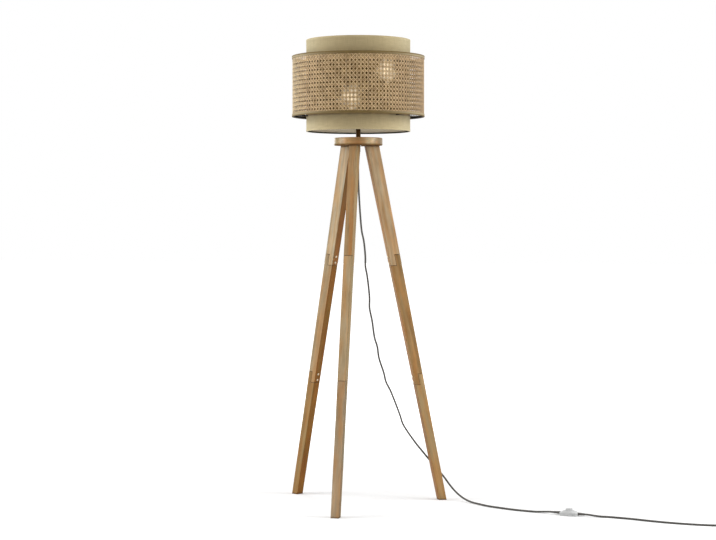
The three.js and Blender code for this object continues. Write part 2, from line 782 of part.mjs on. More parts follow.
function switchScrewPlaces() {
  return [-switchScrewSpacing / 2, switchScrewSpacing / 2];
}

function switchScrewHole(x) {
  const head = switchScrewHeadRadius + fitGap;
  const shank = switchScrewRadius + fitGap;
  const seat = switchScrewHeadHeight + 2 * fitGap;
  const end = seat + switchScrewLength;
  const hole = turned([
    [0, -cutOverrun], [head, -cutOverrun], [head, seat], [shank, seat], [shank, end], [0, end],
  ], smallFacets);
  return hole.translate(x, 0, 0);
}

function switchScrew(x) {
  const seat = switchScrewHeadHeight + fitGap;
  const end = seat + switchScrewLength - fitGap;
  return turned([
    [0, fitGap], [switchScrewHeadRadius, fitGap], [switchScrewHeadRadius, seat], [switchScrewRadius, seat],
    [switchScrewRadius, end - switchScrewRadius], [0, end],
  ], smallFacets).translate(x, 0, 0);
}

// A cut along the cord's line, to half its length each side of the middle.
function cordHole(half, radius) {
  const ends = [-1, 1].map((side) => new THREE.Vector3(side * half, 0, switchSplit));
  return bar(ends[0], ends[1], radius, smallFacets);
}

const neckHole = () => cordHole(switchHalf + cutOverrun, sleeveNeckRadius + fitGap);
const flangePocket = () => cordHole(switchHalf - switchWall, sleeveFlangeRadius + fitGap);

function switchCover() {
  const bottom = switchSplit + fitGap;
  const rise = switchHeight - bottom;
  const shell = (inset) => coverStationShares.map(([up, long, wide]) => [
    bottom + rise * up - inset * (up > 0 ? 1 : 0),
    switchHalf * long - inset,
    (switchWidth / 2) * wide - inset,
  ]);
  const room = shell(switchWall);
  room[0][0] = bottom - cutOverrun;
  const bosses = switchScrewPlaces().map((x) => {
    const radius = switchScrewRadius + fitGap + switchBossWall;
    const top = bottom + rise * coverBossShare;
    return turned([[0, bottom], [radius, bottom], [radius, top], [0, top]], smallFacets).translate(x, 0, 0);
  });
  const above = switchHeight + cutOverrun;
  const mouth = turned([[0, bottom], [buttonBore, bottom], [buttonBore, above], [0, above]], middleFacets);
  const hollow = cut(lofted(shell(0), switchPower, middleFacets), lofted(room, switchPower, middleFacets));
  const body = join(cut(hollow, flangePocket()), ...bosses);
  return cut(body, mouth, neckHole(), ...switchScrewPlaces().map(switchScrewHole));
}

function switchButton() {
  const rim = buttonHeight - buttonCrown;
  const bore = buttonRadius - 2 * buttonWall;
  const roof = buttonHeight - 2 * buttonWall;
  return turned([
    [bore, buttonBottom], [buttonRadius + buttonFlange, buttonBottom],
    [buttonRadius + buttonFlange, buttonFlangeTop], [buttonRadius, buttonFlangeTop],
    [buttonRadius, rim - buttonCrown], [buttonRadius - buttonCrown / 2, rim],
    [buttonRadius / 2, buttonHeight - buttonCrown / 4], [0, buttonHeight], [0, roof], [bore, roof],
    [bore, buttonBottom],
  ], middleFacets);
}

class SpringLine extends THREE.Curve {
  getPoint(t, target = new THREE.Vector3()) {
    const bottom = coreTop + fitGap + springWireRadius;
    const top = buttonHeight - 2 * buttonWall - fitGap - springWireRadius;
    const angle = t * springTurns * 2 * Math.PI;
    const [x, y] = [springRadius * Math.cos(angle), springRadius * Math.sin(angle)];
    return target.set(x, y, bottom + (top - bottom) * t);
  }
}

function switchCore() {
  const [halfX, halfY] = [coreLength / 2, coreWidth / 2];
  const bottom = switchWall + fitGap;
  return lofted([[bottom, halfX, halfY], [coreTop, halfX, halfY]], 2 * switchPower, smallFacets * 2);
}

// A tapered sleeve on the cord where it leaves the switch, held by a flange inside the wall.
function cordSleeve(side) {
  const inside = switchHalf - switchWall - 3 * fitGap;
  const outside = switchHalf + fitGap;
  const sleeve = turned([
    [0, inside - sleeveFlangeLength], [sleeveFlangeRadius, inside - sleeveFlangeLength],
    [sleeveFlangeRadius, inside], [sleeveNeckRadius, inside], [sleeveNeckRadius, outside],
    [sleeveRootRadius, outside], [sleeveTipRadius, outside + sleeveLength], [0, outside + sleeveLength],
  ], smallFacets);
  return sleeve.rotateY((side * Math.PI) / 2).translate(0, 0, switchSplit);
}

function addSwitch() {
  const group = new THREE.Group();
  group.position.set(switchX, switchY, 0);
  group.rotation.z = radians(switchTurnDeg);
  axis.add(group);
  place('switch_base', switchBase(), clearWhitePlastic, group);
  place('switch_cover', switchCover(), clearWhitePlastic, group);
  place('switch_button', switchButton(), clearWhitePlastic, group);
  const spring = tube(new SpringLine(), springWireRadius, springFacets, springTurns * springStepsPerTurn);
  place('switch_spring', spring, steel, group);
  place('switch_core', switchCore(), blackPlastic, group);
  place('switch_sleeve_in', cordSleeve(-1), greyRubber, group);
  place('switch_sleeve_out', cordSleeve(1), greyRubber, group);
  switchScrewPlaces().forEach((x, i) => place(`switch_screw_${i + 1}`, switchScrew(x), steel, group));
}

// Cord: from the grip down behind the right leg to the switch, and on along the floor to the coil.
// The points are measured from the lamp's axis, and keep the slight kinks of a cord that was packed.
const switchTurn = radians(switchTurnDeg);
const switchHeading = new THREE.Vector3(Math.cos(switchTurn), Math.sin(switchTurn), 0);

function fromSwitch(distance) {
  const point = new THREE.Vector3(switchX, switchY, switchSplit);
  return point.addScaledVector(switchHeading, distance);
}

const sleeveTip = switchHalf + fitGap + sleeveLength + fitGap;

const hangingPoints = [
  [0, 0, 1086], [1, 0.5, 1030], [3.4, 2, 978], [5.6, 3.9, 938], [10.2, 6.9, 882.5], [15.9, 9.6, 853.5],
  [20.4, 12.9, 801.5], [20.4, 14.6, 769], [24.9, 16.9, 743], [30.2, 20.8, 694], [32.1, 22.8, 665],
  [31.7, 24, 635.5], [39.2, 28.4, 593], [46.2, 34, 537.5], [54.2, 38.3, 508], [58.6, 42.8, 472],
  [72.9, 51.4, 422], [79, 56.7, 392.5], [92.4, 64.4, 362.5], [120.2, 85.3, 279], [127.6, 92.2, 252],
  [163, 114.8, 191], [186.6, 130.1, 157], [202, 140, 135.5], [224.5, 151, 106.5], [251.5, 155.5, 74],
  [278.3, 145.5, 43.5], [301, 132, 24.5], [326, 117, 10.6], [354.5, 89, 4.6],
];
const floorPointsBefore = [
  [387, 61, 3.2], [426, 27, 3.2], [466.5, 4, 3.2], [508.5, -17.5, 3.2], [549, -32, 3.2],
  [586.5, -41, 3.4], [608, -44.5, 4.6],
];
const floorPointsAfter = [
  [790, -82.5, 3.9], [817, -81, 3.2], [856, -90, 3.2], [898, -102, 3.2], [942, -119, 3.2],
  [988, -134, 3.2], [1036, -145, 3.2], [1086, -152, 3.2], [1136, -154.5, 3.4], [1170, -154.5, 4.2],
];

const vectors = (list) => list.map(([x, y, z]) => new THREE.Vector3(x, y, z));

function upperRoute() {
  const exit = new THREE.Vector3(0, 0, cordExit);
  const inlet = [fromSwitch(-sleeveTip - 4 * cordRadius), fromSwitch(-sleeveTip)];
  const between = [...vectors(hangingPoints), ...vectors(floorPointsBefore)];
  return new THREE.CatmullRomCurve3([exit, ...between, ...inlet]);
}

function lowerRoute() {
  const outlet = [fromSwitch(sleeveTip), fromSwitch(sleeveTip + 4 * cordRadius)];
  const end = new THREE.Vector3(coilX - 2 * cordRadius - fitGap, coilEntryY, coilLowLayer);
  return new THREE.CatmullRomCurve3([...outlet, ...vectors(floorPointsAfter), end]);
}

// Coil: a straight start, two piled spirals, in and out again, and a tail that comes down to the plug.
// The climb to the upper layer lies in the half turn where the spiral reverses.
function coilTurnPoint(angle) {
  const middle = coilAngle / 2;
  const radius = coilOuterRadius - (coilPitch * (middle - Math.abs(angle - middle))) / (2 * Math.PI);
  const climb = THREE.MathUtils.clamp((angle - middle) / Math.PI + 0.5, 0, 1);
  const height = coilLowLayer + (coilHighLayer - coilLowLayer) * climb;
  const bearing = angle - Math.PI / 2;
  return new THREE.Vector3(coilX + radius * Math.cos(bearing), coilY + radius * Math.sin(bearing), height);
}

const coilEnd = coilTurnPoint(coilAngle);
const smallTurn = 1e-3;
const coilAlmostEnd = coilTurnPoint(coilAngle - smallTurn);
const tailHeading = new THREE.Vector3().subVectors(coilEnd, coilAlmostEnd).normalize();
const plugFoot = coilEnd.clone().addScaledVector(tailHeading, tailLength).setZ(plugAxisHeight);

class Coil extends THREE.Curve {
  getPoint(t, target = new THREE.Vector3()) {
    const start = 2 * cordRadius;
    const turns = coilAngle * coilMeanRadius;
    const at = t * (start + turns + tailLength);
    if (at < start) return target.set(coilX - start + at, coilEntryY, coilLowLayer);
    if (at < start + turns) return target.copy(coilTurnPoint((at - start) / coilMeanRadius));
    const out = at - start - turns;
    const drop = THREE.MathUtils.smoothstep(out, cordRadius, tailLength - 2 * cordRadius);
    target.copy(coilEnd).addScaledVector(tailHeading, out);
    return target.setZ(coilHighLayer + (plugAxisHeight - coilHighLayer) * drop);
  }
}

// The least clear gap between two stretches of the coil that lie more than a third of a turn apart.
function leastGap(curve) {
  const perTurn = coilStepsPerTurn * gapChecksPerStep;
  const points = curve.getSpacedPoints(Math.round(coilTurns * perTurn));
  const apart = Math.round(perTurn / 3);
  let least = Infinity;
  for (let i = 0; i < points.length; i += 1) {
    for (let j = i + apart; j < points.length; j += 1) {
      least = Math.min(least, points[i].distanceTo(points[j]));
    }
  }
  return least - 2 * cordRadius;
}

// The tie: a flat strap round the bundle of turns on one side of the coil.
function coilTie() {
  const bearing = radians(tieTurnDeg);
  const radii = [];
  for (let angle = bearing + Math.PI / 2; angle < coilAngle; angle += 2 * Math.PI) {
    const point = coilTurnPoint(angle);
    radii.push(Math.hypot(point.x - coilX, point.y - coilY));
  }
  const reach = cordRadius + tieGap;
  const corners = (grow) => {
    const [near, far] = [Math.min(...radii) - reach - grow, Math.max(...radii) + reach + grow];
    const [low, high] = [coilLowLayer - reach - grow, coilHighLayer + reach + grow];
    return [[near, low], [far, low], [far, high], [near, high]].map(([x, z]) => new THREE.Vector2(x, z));
  };
  const strap = new THREE.Shape(corners(tieThickness));
  strap.holes.push(new THREE.Path(corners(0)));
  const tie = new THREE.ExtrudeGeometry(strap, { depth: tieWidth, bevelEnabled: false });
  tie.rotateX(Math.PI / 2).translate(0, tieWidth / 2, 0).rotateZ(bearing);
  return tie.translate(coilX, coilY, 0);
}

// Plug, in its own frame: the cord comes in along +Z of the loft, which is then laid along X.
function plugBody() {
  const root = plugReliefLength + plugReliefRoot;
  const relief = turned([
    [0, 0], [plugReliefTipRadius, 0], [plugReliefRootRadius, root], [0, root],
  ], smallFacets * 2);
  const reach = plugReliefLength + plugBodyLength;
  const body = lofted(plugStationShares.map(([on, wide, thick]) => [
    plugReliefLength + plugBodyLength * on,
    (plugWidth / 2) * wide,
    (plugThickness / 2) * thick,
  ]), plugPower, middleFacets);
  const bores = pinPlaces().map((x) => turned([
    [0, reach - pinSeat - fitGap], [pinRadius + fitGap, reach - pinSeat - fitGap],
    [pinRadius + fitGap, reach + cutOverrun], [0, reach + cutOverrun],
  ], smallFacets).translate(x, 0, 0));
  return cut(join(body, relief), ...bores);
}

function pinPlaces() {
  return [-pinSpacing / 2, pinSpacing / 2];
}

function plugPin(x) {
  const root = plugReliefLength + plugBodyLength - pinSeat;
  const face = root + pinSeat;
  const tip = face + pinLength;
  return turned([
    [0, root], [pinRadius, root], [pinRadius, face], [pinRadius - pinSleeveInset, face],
    [pinRadius - pinSleeveInset, face + pinSleeveLength], [pinRadius, face + pinSleeveLength],
    [pinRadius, tip - pinRadius / 2], [pinRadius / 2, tip], [0, tip],
  ], smallFacets).translate(x, 0, 0);
}

function addCord() {
  place('cord_upper', tube(upperRoute(), cordRadius, cordFacets, upperCordSteps), greyTextile);
  place('cord_lower', tube(lowerRoute(), cordRadius, cordFacets, lowerCordSteps), greyTextile);
  const coil = new Coil();
  coil.arcLengthDivisions = coilMeasureSteps;
  const coilSteps = Math.round((coil.getLength() / (2 * Math.PI * coilMeanRadius)) * coilStepsPerTurn);
  place('cord_coil', tube(coil, cordRadius, coilFacets, coilSteps), greyTextile);
  place('coil_tie', coilTie(), blackPlastic);
  console.log(`least gap of the coil to itself: ${leastGap(coil).toFixed(2)} mm`);
  const lengths = [upperRoute(), lowerRoute(), coil].map((curve) => curve.getLength().toFixed(0));
  console.log(`cord lengths, above the switch, to the coil and in the coil: ${lengths.join(', ')} mm`);
  const plug = new THREE.Group();
  plug.position.copy(plugFoot).addScaledVector(tailHeading, fitGap);
  plug.rotation.z = Math.atan2(tailHeading.y, tailHeading.x);
  axis.add(plug);
  const laid = (geometry) => geometry.rotateX(Math.PI / 2).rotateZ(Math.PI / 2);
  place('plug_body', laid(plugBody()), blackPlastic, plug);
  pinPlaces().forEach((x, i) => place(`plug_pin_${i + 1}`, laid(plugPin(x)), steel, plug));
}

place('head_disc', headDisc(), headWood);
addLegs();
addStem();
place('cord_grip', cordGrip(), blackPlastic);
addHolder();
addShades();
addSwitch();
addCord();

export default lamp;
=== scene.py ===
import json
import math

import bmesh
import bpy
import numpy as np
from mathutils import Euler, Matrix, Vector


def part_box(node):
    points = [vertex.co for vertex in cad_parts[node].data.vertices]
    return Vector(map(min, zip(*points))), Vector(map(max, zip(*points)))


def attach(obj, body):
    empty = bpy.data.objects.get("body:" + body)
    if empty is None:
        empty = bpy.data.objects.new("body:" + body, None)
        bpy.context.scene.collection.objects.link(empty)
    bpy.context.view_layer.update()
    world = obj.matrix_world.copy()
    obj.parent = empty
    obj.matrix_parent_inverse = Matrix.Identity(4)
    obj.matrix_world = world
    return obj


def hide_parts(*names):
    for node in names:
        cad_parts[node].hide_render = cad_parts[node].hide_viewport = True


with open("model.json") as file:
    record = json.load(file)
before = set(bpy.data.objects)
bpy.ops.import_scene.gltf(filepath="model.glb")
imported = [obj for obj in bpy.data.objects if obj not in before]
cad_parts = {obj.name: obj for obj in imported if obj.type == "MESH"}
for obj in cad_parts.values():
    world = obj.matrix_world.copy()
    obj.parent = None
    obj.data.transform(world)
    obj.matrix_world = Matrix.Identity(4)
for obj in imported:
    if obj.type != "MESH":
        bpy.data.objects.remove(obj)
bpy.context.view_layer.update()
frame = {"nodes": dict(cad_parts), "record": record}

# Rattan floor lamp. Metres, +Z up, the front leg towards -Y. Every new surface is a grid of points
# worked out with numpy, and each function says its formula.

MM = 0.001
TURN = 2 * math.pi
SAME_PLACE = 0.0001 * MM  # points closer than this are merged
rng = np.random.default_rng(41)

# Places that follow from the frame


def span(node):
    """Lowest and highest corner of a node of the frame, as arrays."""
    low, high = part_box(node)
    return np.array(low), np.array(high)


def heights(node):
    """The heights of a node's lowest and highest point."""
    low, high = span(node)
    return float(low[2]), float(high[2])


def radius_of(node):
    """Half the width of a round node."""
    low, high = span(node)
    return (high[0] - low[0]) / 2


def middle_of(node):
    """The middle of a node's box."""
    low, high = span(node)
    return (low + high) / 2


AXIS = middle_of("cane_trim_top") * [0, 1, 0]
HEAD_LOW, HEAD_TOP = heights("head_disc")
CANE_LOW, CANE_TOP = heights("cane_trim_bottom")[0], heights("cane_trim_top")[1]
CANE_FRONT = math.radians(-75.8)  # bearing of the drums' side that faces the camera
TRIM_HEIGHT = 9 * MM
LAP_SHARES = (0.344, 0.6807)  # heights of the middles of the half laps, in head heights
LAP_REACH = 18 * MM  # of a half lap, up and down from its middle
LAP_LINE = 1.1 * MM  # half the width of the dark line that shows a lap
PROUD = 1.3 * MM  # how far wood, cloth and webbing stand outside the frame's solids


# Surfaces


def smooth(t):
    """The smooth step 3t^2 - 2t^3 of t, kept within 0 and 1."""
    t = np.clip(t, 0, 1)
    return t * t * (3 - 2 * t)


def arc_corners(points, radii, steps=4):
    """A closed outline with its corners rounded: each corner gets an arc of its own radius, tangent to
    both of its sides."""
    points = np.asarray(points, float)
    out = []
    for k, radius in enumerate(radii):
        corner = points[k]
        if radius <= 0:
            out.append(corner[None])
            continue
        before = points[k - 1] - corner
        after = points[(k + 1) % len(points)] - corner
        before /= np.linalg.norm(before)
        after /= np.linalg.norm(after)
        half = math.acos(np.clip(before @ after, -1, 1)) / 2
        middle = before + after
        middle /= np.linalg.norm(middle)
        centre = corner + middle * radius / math.sin(half)
        start = corner + before * radius / math.tan(half) - centre
        end = corner + after * radius / math.tan(half) - centre
        t = np.linspace(0, 1, steps + 1)[:, None]
        sweep = math.pi - 2 * half
        arc = (start * np.sin((1 - t) * sweep) + end * np.sin(t * sweep)) / math.sin(sweep)
        out.append(centre + arc)
    return np.concatenate(out)


class Skins:
    """Grids of points gathered into one mesh, with a UV map in metres and a tone for each skin."""

    def __init__(self):
        self.points, self.faces, self.uvs, self.tones, self.edges = [], [], [], [], []
        self.count = 0

    def add(self, points, uv=None, tone=0.0, edge=0.0, ring=True, loop=False, capped=True):
        """points[n, rings, sides, 3] are n skins. Neighbouring rings are joined by quads; ring closes
        each ring on itself, loop joins the last ring to the first, capped closes the two ends. tone is
        a value for each skin, and edge one for each point round a ring."""
        points = np.asarray(points, float)
        if points.ndim == 3:
            points = points[None]
        n, rings, sides, _ = points.shape
        index = np.arange(n * rings * sides).reshape(n, rings, sides) + self.count
        if uv is None:
            step = np.linalg.norm(np.diff(points, axis=1), axis=3).mean(axis=(0, 2))
            along = np.concatenate([[0], np.cumsum(step)])
            around = np.linspace(0, 1, sides + 1)
            uv = np.stack(np.meshgrid(along, around, indexing="ij"), -1)
        uv = np.broadcast_to(uv, (n, *uv.shape[-3:]))
        wide = np.concatenate([index, index[:, :, :1]], 2) if ring else index
        uv = uv[:, :, : wide.shape[2]]
        if loop:
            wide = np.concatenate([wide, wide[:, :1]], 1)
            uv = np.concatenate([uv, uv[:, -1:] * 2 - uv[:, -2:-1]], 1)
        corners = [(slice(0, -1), slice(0, -1)), (slice(0, -1), slice(1, None)),
                   (slice(1, None), slice(1, None)), (slice(1, None), slice(0, -1))]
        quads = np.stack([wide[:, a, b] for a, b in corners], -1).reshape(-1, 4)
        self.faces += quads.tolist()
        self.uvs.append(np.stack([uv[:, a, b] for a, b in corners], -2).reshape(-1, 2))
        if capped and ring and not loop:
            for k, turn in ((0, -1), (rings - 1, 1)):
                self.faces += index[:, k, ::turn].tolist()
                self.uvs.append(np.repeat(uv[:, k, :1], sides, 1).reshape(-1, 2))
        self.points.append(points.reshape(-1, 3))
        tone = np.broadcast_to(np.reshape(tone, (-1, 1)), (n, rings * sides))
        self.tones.append(tone.reshape(-1))
        self.edges.append(np.broadcast_to(edge, (n, rings, sides)).reshape(-1))
        self.count += n * rings * sides

    def mesh(self, name, smooth_deg=35):
        """The mesh, with points that coincide merged, faces turned outwards and sharp edges marked."""
        mesh = bpy.data.meshes.new(name)
        mesh.from_pydata(np.concatenate(self.points).tolist(), [], self.faces)
        uv = mesh.uv_layers.new(name="UVMap")
        uv.data.foreach_set("uv", np.concatenate(self.uvs).ravel())
        for key, values in (("tone", self.tones), ("edge", self.edges)):
            attribute = mesh.attributes.new(key, "FLOAT", "POINT")
            attribute.data.foreach_set("value", np.concatenate(values))
        work = bmesh.new()
        work.from_mesh(mesh)
        bmesh.ops.remove_doubles(work, verts=work.verts, dist=SAME_PLACE)
        bmesh.ops.dissolve_degenerate(work, edges=work.edges, dist=SAME_PLACE)
        if work.calc_volume(signed=True) < 0:
            bmesh.ops.reverse_faces(work, faces=work.faces)
        work.to_mesh(mesh)
        work.free()
        mesh.shade_smooth()
        mesh.set_sharp_from_angle(angle=math.radians(smooth_deg))
        return mesh


def linked(name, data):
    """A new object of that data, in the scene."""
    made = bpy.data.objects.new(name, data)
    bpy.context.scene.collection.objects.link(made)
    return made


def finished(name, shape, finish, nodes, smooth_deg=35, body="lamp"):
    """An object of a mesh or of skins, with its finish, riding on its body in place of its CAD nodes."""
    mesh = shape.mesh(name, smooth_deg) if isinstance(shape, Skins) else shape
    mesh.materials.append(MATERIALS[finish])
    made = linked(name, mesh)
    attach(made, body)
    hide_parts(*nodes)
    return made


def dressed(node, shape, finish, smooth_deg=35, body="lamp"):
    """A finished piece in place of one CAD node."""
    return finished(f"{node}_finished", shape, finish, [node], smooth_deg, body)


def lathe(profile, sides=48, centre=AXIS, lobes=None):
    """Rings of points: a profile of (radius, height) turned round the Z axis through centre. lobes
    gives a factor on the radius for each angle."""
    profile = np.asarray(profile, float)
    angle = np.arange(sides) / sides * TURN
    factor = np.ones(sides) if lobes is None else lobes(angle)
    radius = profile[:, :1] * factor
    height = np.broadcast_to(profile[:, 1:], radius.shape)
    points = np.stack([radius * np.cos(angle), radius * np.sin(angle), height], -1)
    return points + centre


def turned(node, profile, finish, sides=48, place=None, body="lamp"):
    """A closed turned piece: the profile runs from the axis to the axis, or closes on itself. place
    moves the points from the Z axis to where the piece is."""
    points = lathe(profile, sides) if place is None else place(lathe(profile, sides, 0.0))
    skins = Skins()
    skins.add(points, loop=profile[0][0] > 0, capped=False)
    return dressed(node, skins, finish, body=body)


def lobed_ring(node, bore, ease, shrink, finish, sides, lobes, smooth_deg):
    """A ring whose outside has lobes or flats: its rim narrows to the share shrink over the height
    ease at both ends, and its bore is round."""
    low, high = heights(node)
    outer = radius_of(node)
    rim = [(outer * shrink, low), (outer, low + ease), (outer, high - ease), (outer * shrink, high)]
    rings = [lathe(rim, sides, AXIS, lobes), lathe([(bore, high), (bore, low)], sides)]
    skins = Skins()
    skins.add(np.concatenate(rings), loop=True, capped=False)
    return dressed(node, skins, finish, smooth_deg)


def framed(path):
    """Unit tangents of a path and two unit vectors across it that don't twist as it turns."""
    tangent = np.gradient(path, axis=0)
    tangent /= np.linalg.norm(tangent, axis=1)[:, None]
    across = np.empty_like(path)
    start = np.cross(tangent[0], [0.3, 0.9, 0.2])
    across[0] = start / np.linalg.norm(start)
    for k in range(1, len(path)):
        kept = across[k - 1] - tangent[k] * (across[k - 1] @ tangent[k])
        across[k] = kept / np.linalg.norm(kept)
    return tangent, across, np.cross(tangent, across)


def tube(path, radius, sides=16):
    """Rings of a round tube of that radius, or those radii, along a path, and its UV map: u along in
    metres, v once round."""
    _, across, up = framed(path)
    angle = np.arange(sides) / sides * TURN
    radius = np.broadcast_to(radius, len(path))[:, None, None]
    points = path[:, None] + radius * (
        np.cos(angle)[:, None] * across[:, None] + np.sin(angle)[:, None] * up[:, None]
    )
    along = np.concatenate([[0], np.cumsum(np.linalg.norm(np.diff(path, axis=0), axis=1))])
    uv = np.stack(np.meshgrid(along, np.linspace(0, 1, sides + 1), indexing="ij"), -1)
    return points, uv


def torus(radius, height, wire, sides=12, steps=160):
    """Rings of a closed round wire ring about the lamp's axis."""
    angle = np.arange(steps) / steps * TURN
    turn = np.arange(sides) / sides * TURN
    reach = radius + wire * np.cos(turn)
    points = np.stack([
        np.cos(angle)[:, None] * reach, np.sin(angle)[:, None] * reach,
        np.broadcast_to(height + wire * np.sin(turn), (steps, sides)),
    ], -1)
    return points + AXIS


def curve_through(points, per_span=24):
    """The centripetal curve through the points: on each span a cubic whose end tangents come from the
    neighbouring points, weighted by the square roots of their distances."""
    points = np.asarray(points, float)
    ends = [points[:1] * 2 - points[1:2], points, points[-1:] * 2 - points[-2:-1]]
    p0, p1, p2, p3 = (np.concatenate(ends)[k: k + len(points) - 1] for k in range(4))
    pairs = ((p0, p1), (p1, p2), (p2, p3))
    d0, d1, d2 = (np.sqrt(np.linalg.norm(b - a, axis=1))[:, None] for a, b in pairs)
    m1 = ((p1 - p0) / d0 - (p2 - p0) / (d0 + d1) + (p2 - p1) / d1) * d1
    m2 = ((p2 - p1) / d1 - (p3 - p1) / (d1 + d2) + (p3 - p2) / d2) * d1
    t = (np.arange(per_span) / per_span)[None, :, None]
    a, b, c, d = (x[:, None] for x in (p1, m1, 3 * (p2 - p1) - 2 * m1 - m2, 2 * (p1 - p2) + m1 + m2))
    return np.concatenate([(a + b * t + c * t**2 + d * t**3).reshape(-1, 3), points[-1:]])


# Camera, at the photograph's viewing angle

CAMERA_PLACE = (1.3827, -5.4234, 0.9242)
CAMERA_TILT = math.radians(88.318)
CAMERA_TURN = math.radians(14.205)
LENS_MM = 87.54
FILM_WIDTH_MM = 36.0
FARTHEST = 60.0

camera_data = bpy.data.cameras.new("camera")
camera_data.lens = LENS_MM
camera_data.sensor_width = FILM_WIDTH_MM
camera_data.clip_end = FARTHEST
camera = linked("camera", camera_data)
camera.location = CAMERA_PLACE
camera.rotation_euler = Euler((CAMERA_TILT, 0, CAMERA_TURN))
bpy.context.scene.camera = camera


# Node trees


class Graph:
    """A node tree that is being built. Inputs are given as values or as the sockets that feed them, and
    colours as three shares."""

    def __init__(self, tree):
        self.tree = tree

    def add(self, kind, inputs=(), **settings):
        made = self.tree.nodes.new(kind)
        for key, value in settings.items():
            setattr(made, key, value)
        for key, value in dict(inputs).items():
            self.feed(made.inputs[key], value)
        return made

    def feed(self, socket, value):
        if isinstance(value, bpy.types.NodeSocket):
            self.tree.links.new(value, socket)
        elif socket.type == "RGBA":
            socket.default_value = (*value, 1)
        else:
            socket.default_value = value

    def math(self, operation, a, b=0.0, c=0.0):
        made = self.add("ShaderNodeMath", {0: a, 1: b, 2: c}, operation=operation)
        return made.outputs[0]

    def plus(self, a, b):
        return self.math("ADD", a, b)

    def minus(self, a, b):
        return self.math("SUBTRACT", a, b)

    def times(self, a, b):
        return self.math("MULTIPLY", a, b)

    def size(self, a):
        """The number without its sign."""
        return self.math("ABSOLUTE", a)

    def most(self, a, b):
        return self.math("MAXIMUM", a, b)

    def vectors(self, operation, *inputs):
        """The outputs of a sum on vectors: first a vector, then a number."""
        return self.add("ShaderNodeVectorMath", dict(enumerate(inputs)), operation=operation).outputs

    def split(self, vector):
        return self.add("ShaderNodeSeparateXYZ", {0: vector}).outputs

    def mix(self, factor, a, b, blend="MIX"):
        settings = {"data_type": "RGBA", "blend_type": blend}
        return self.add("ShaderNodeMix", {0: factor, 6: a, 7: b}, **settings).outputs[2]

    def tinted(self, colour, tint):
        return self.mix(1.0, colour, tint, blend="MULTIPLY")

    def scaled(self, vector, scale, place=(0, 0, 0)):
        inputs = {"Vector": vector, "Scale": scale, "Location": place}
        return self.add("ShaderNodeMapping", inputs).outputs[0]

    def noise(self, vector, scale=1.0, detail=3.0, roughness=0.5):
        inputs = {"Vector": vector, "Scale": scale, "Detail": detail, "Roughness": roughness}
        return self.add("ShaderNodeTexNoise", inputs).outputs[0]

    def ramp(self, factor, *stops):
        """A colour that runs through the stops, each a place and a colour."""
        made = self.add("ShaderNodeValToRGB", {0: factor})
        elements = made.color_ramp.elements
        while len(elements) < len(stops):
            elements.new(0.5)
        for element, (place, colour) in zip(elements, stops):
            element.position = place
            element.color = (*colour, 1)
        return made.outputs[0]

    def level(self, factor, low, high, to_low=0.0, to_high=1.0):
        """Runs from to_low where the factor is low to to_high where it is high, and no further."""
        inputs = {0: factor, 1: low, 2: high, 3: to_low, 4: to_high}
        return self.add("ShaderNodeMapRange", inputs).outputs[0]

    def bump(self, height, distance, strength=1.0):
        inputs = {"Height": height, "Distance": distance, "Strength": strength}
        return self.add("ShaderNodeBump", inputs).outputs[0]

    def attribute(self, name, output="Vector"):
        return self.add("ShaderNodeAttribute", attribute_name=name).outputs[output]

    def coordinates(self, output="Object"):
        return self.add("ShaderNodeTexCoord").outputs[output]


def group(name, inputs, outputs):
    """A new shader node group with named inputs and outputs: its graph, its input sockets by name and
    its output sockets."""
    tree = bpy.data.node_groups.new(name, "ShaderNodeTree")
    kinds = {"colour": "NodeSocketColor", "value": "NodeSocketFloat", "vector": "NodeSocketVector"}
    for way, sockets in (("INPUT", inputs), ("OUTPUT", outputs)):
        for label, kind in sockets.items():
            tree.interface.new_socket(name=label, in_out=way, socket_type=kinds[kind])
    graph = Graph(tree)
    entry = graph.add("NodeGroupInput")
    leave = graph.add("NodeGroupOutput")
    return graph, entry.outputs, leave.inputs


def placed(graph, name, inputs):
    """The outputs of a use of a node group in a material."""
    made = graph.add("ShaderNodeGroup")
    made.node_tree = bpy.data.node_groups[name]
    for key, value in inputs.items():
        graph.feed(made.inputs[key], value)
    return made.outputs


MATERIALS = {}


def material(name, **plain):
    """A new material: its graph and its Principled shader's inputs, with the plain values set on them."""
    made = bpy.data.materials.new(name)
    made.use_nodes = True
    graph = Graph(made.node_tree)
    sockets = made.node_tree.nodes["Principled BSDF"].inputs
    for key, value in plain.items():
        graph.feed(sockets[key.replace("_", " ")], value)
    MATERIALS[name] = made
    return graph, sockets


# Effects that more than one material uses

PORE_BROWN = (0.10, 0.055, 0.03)


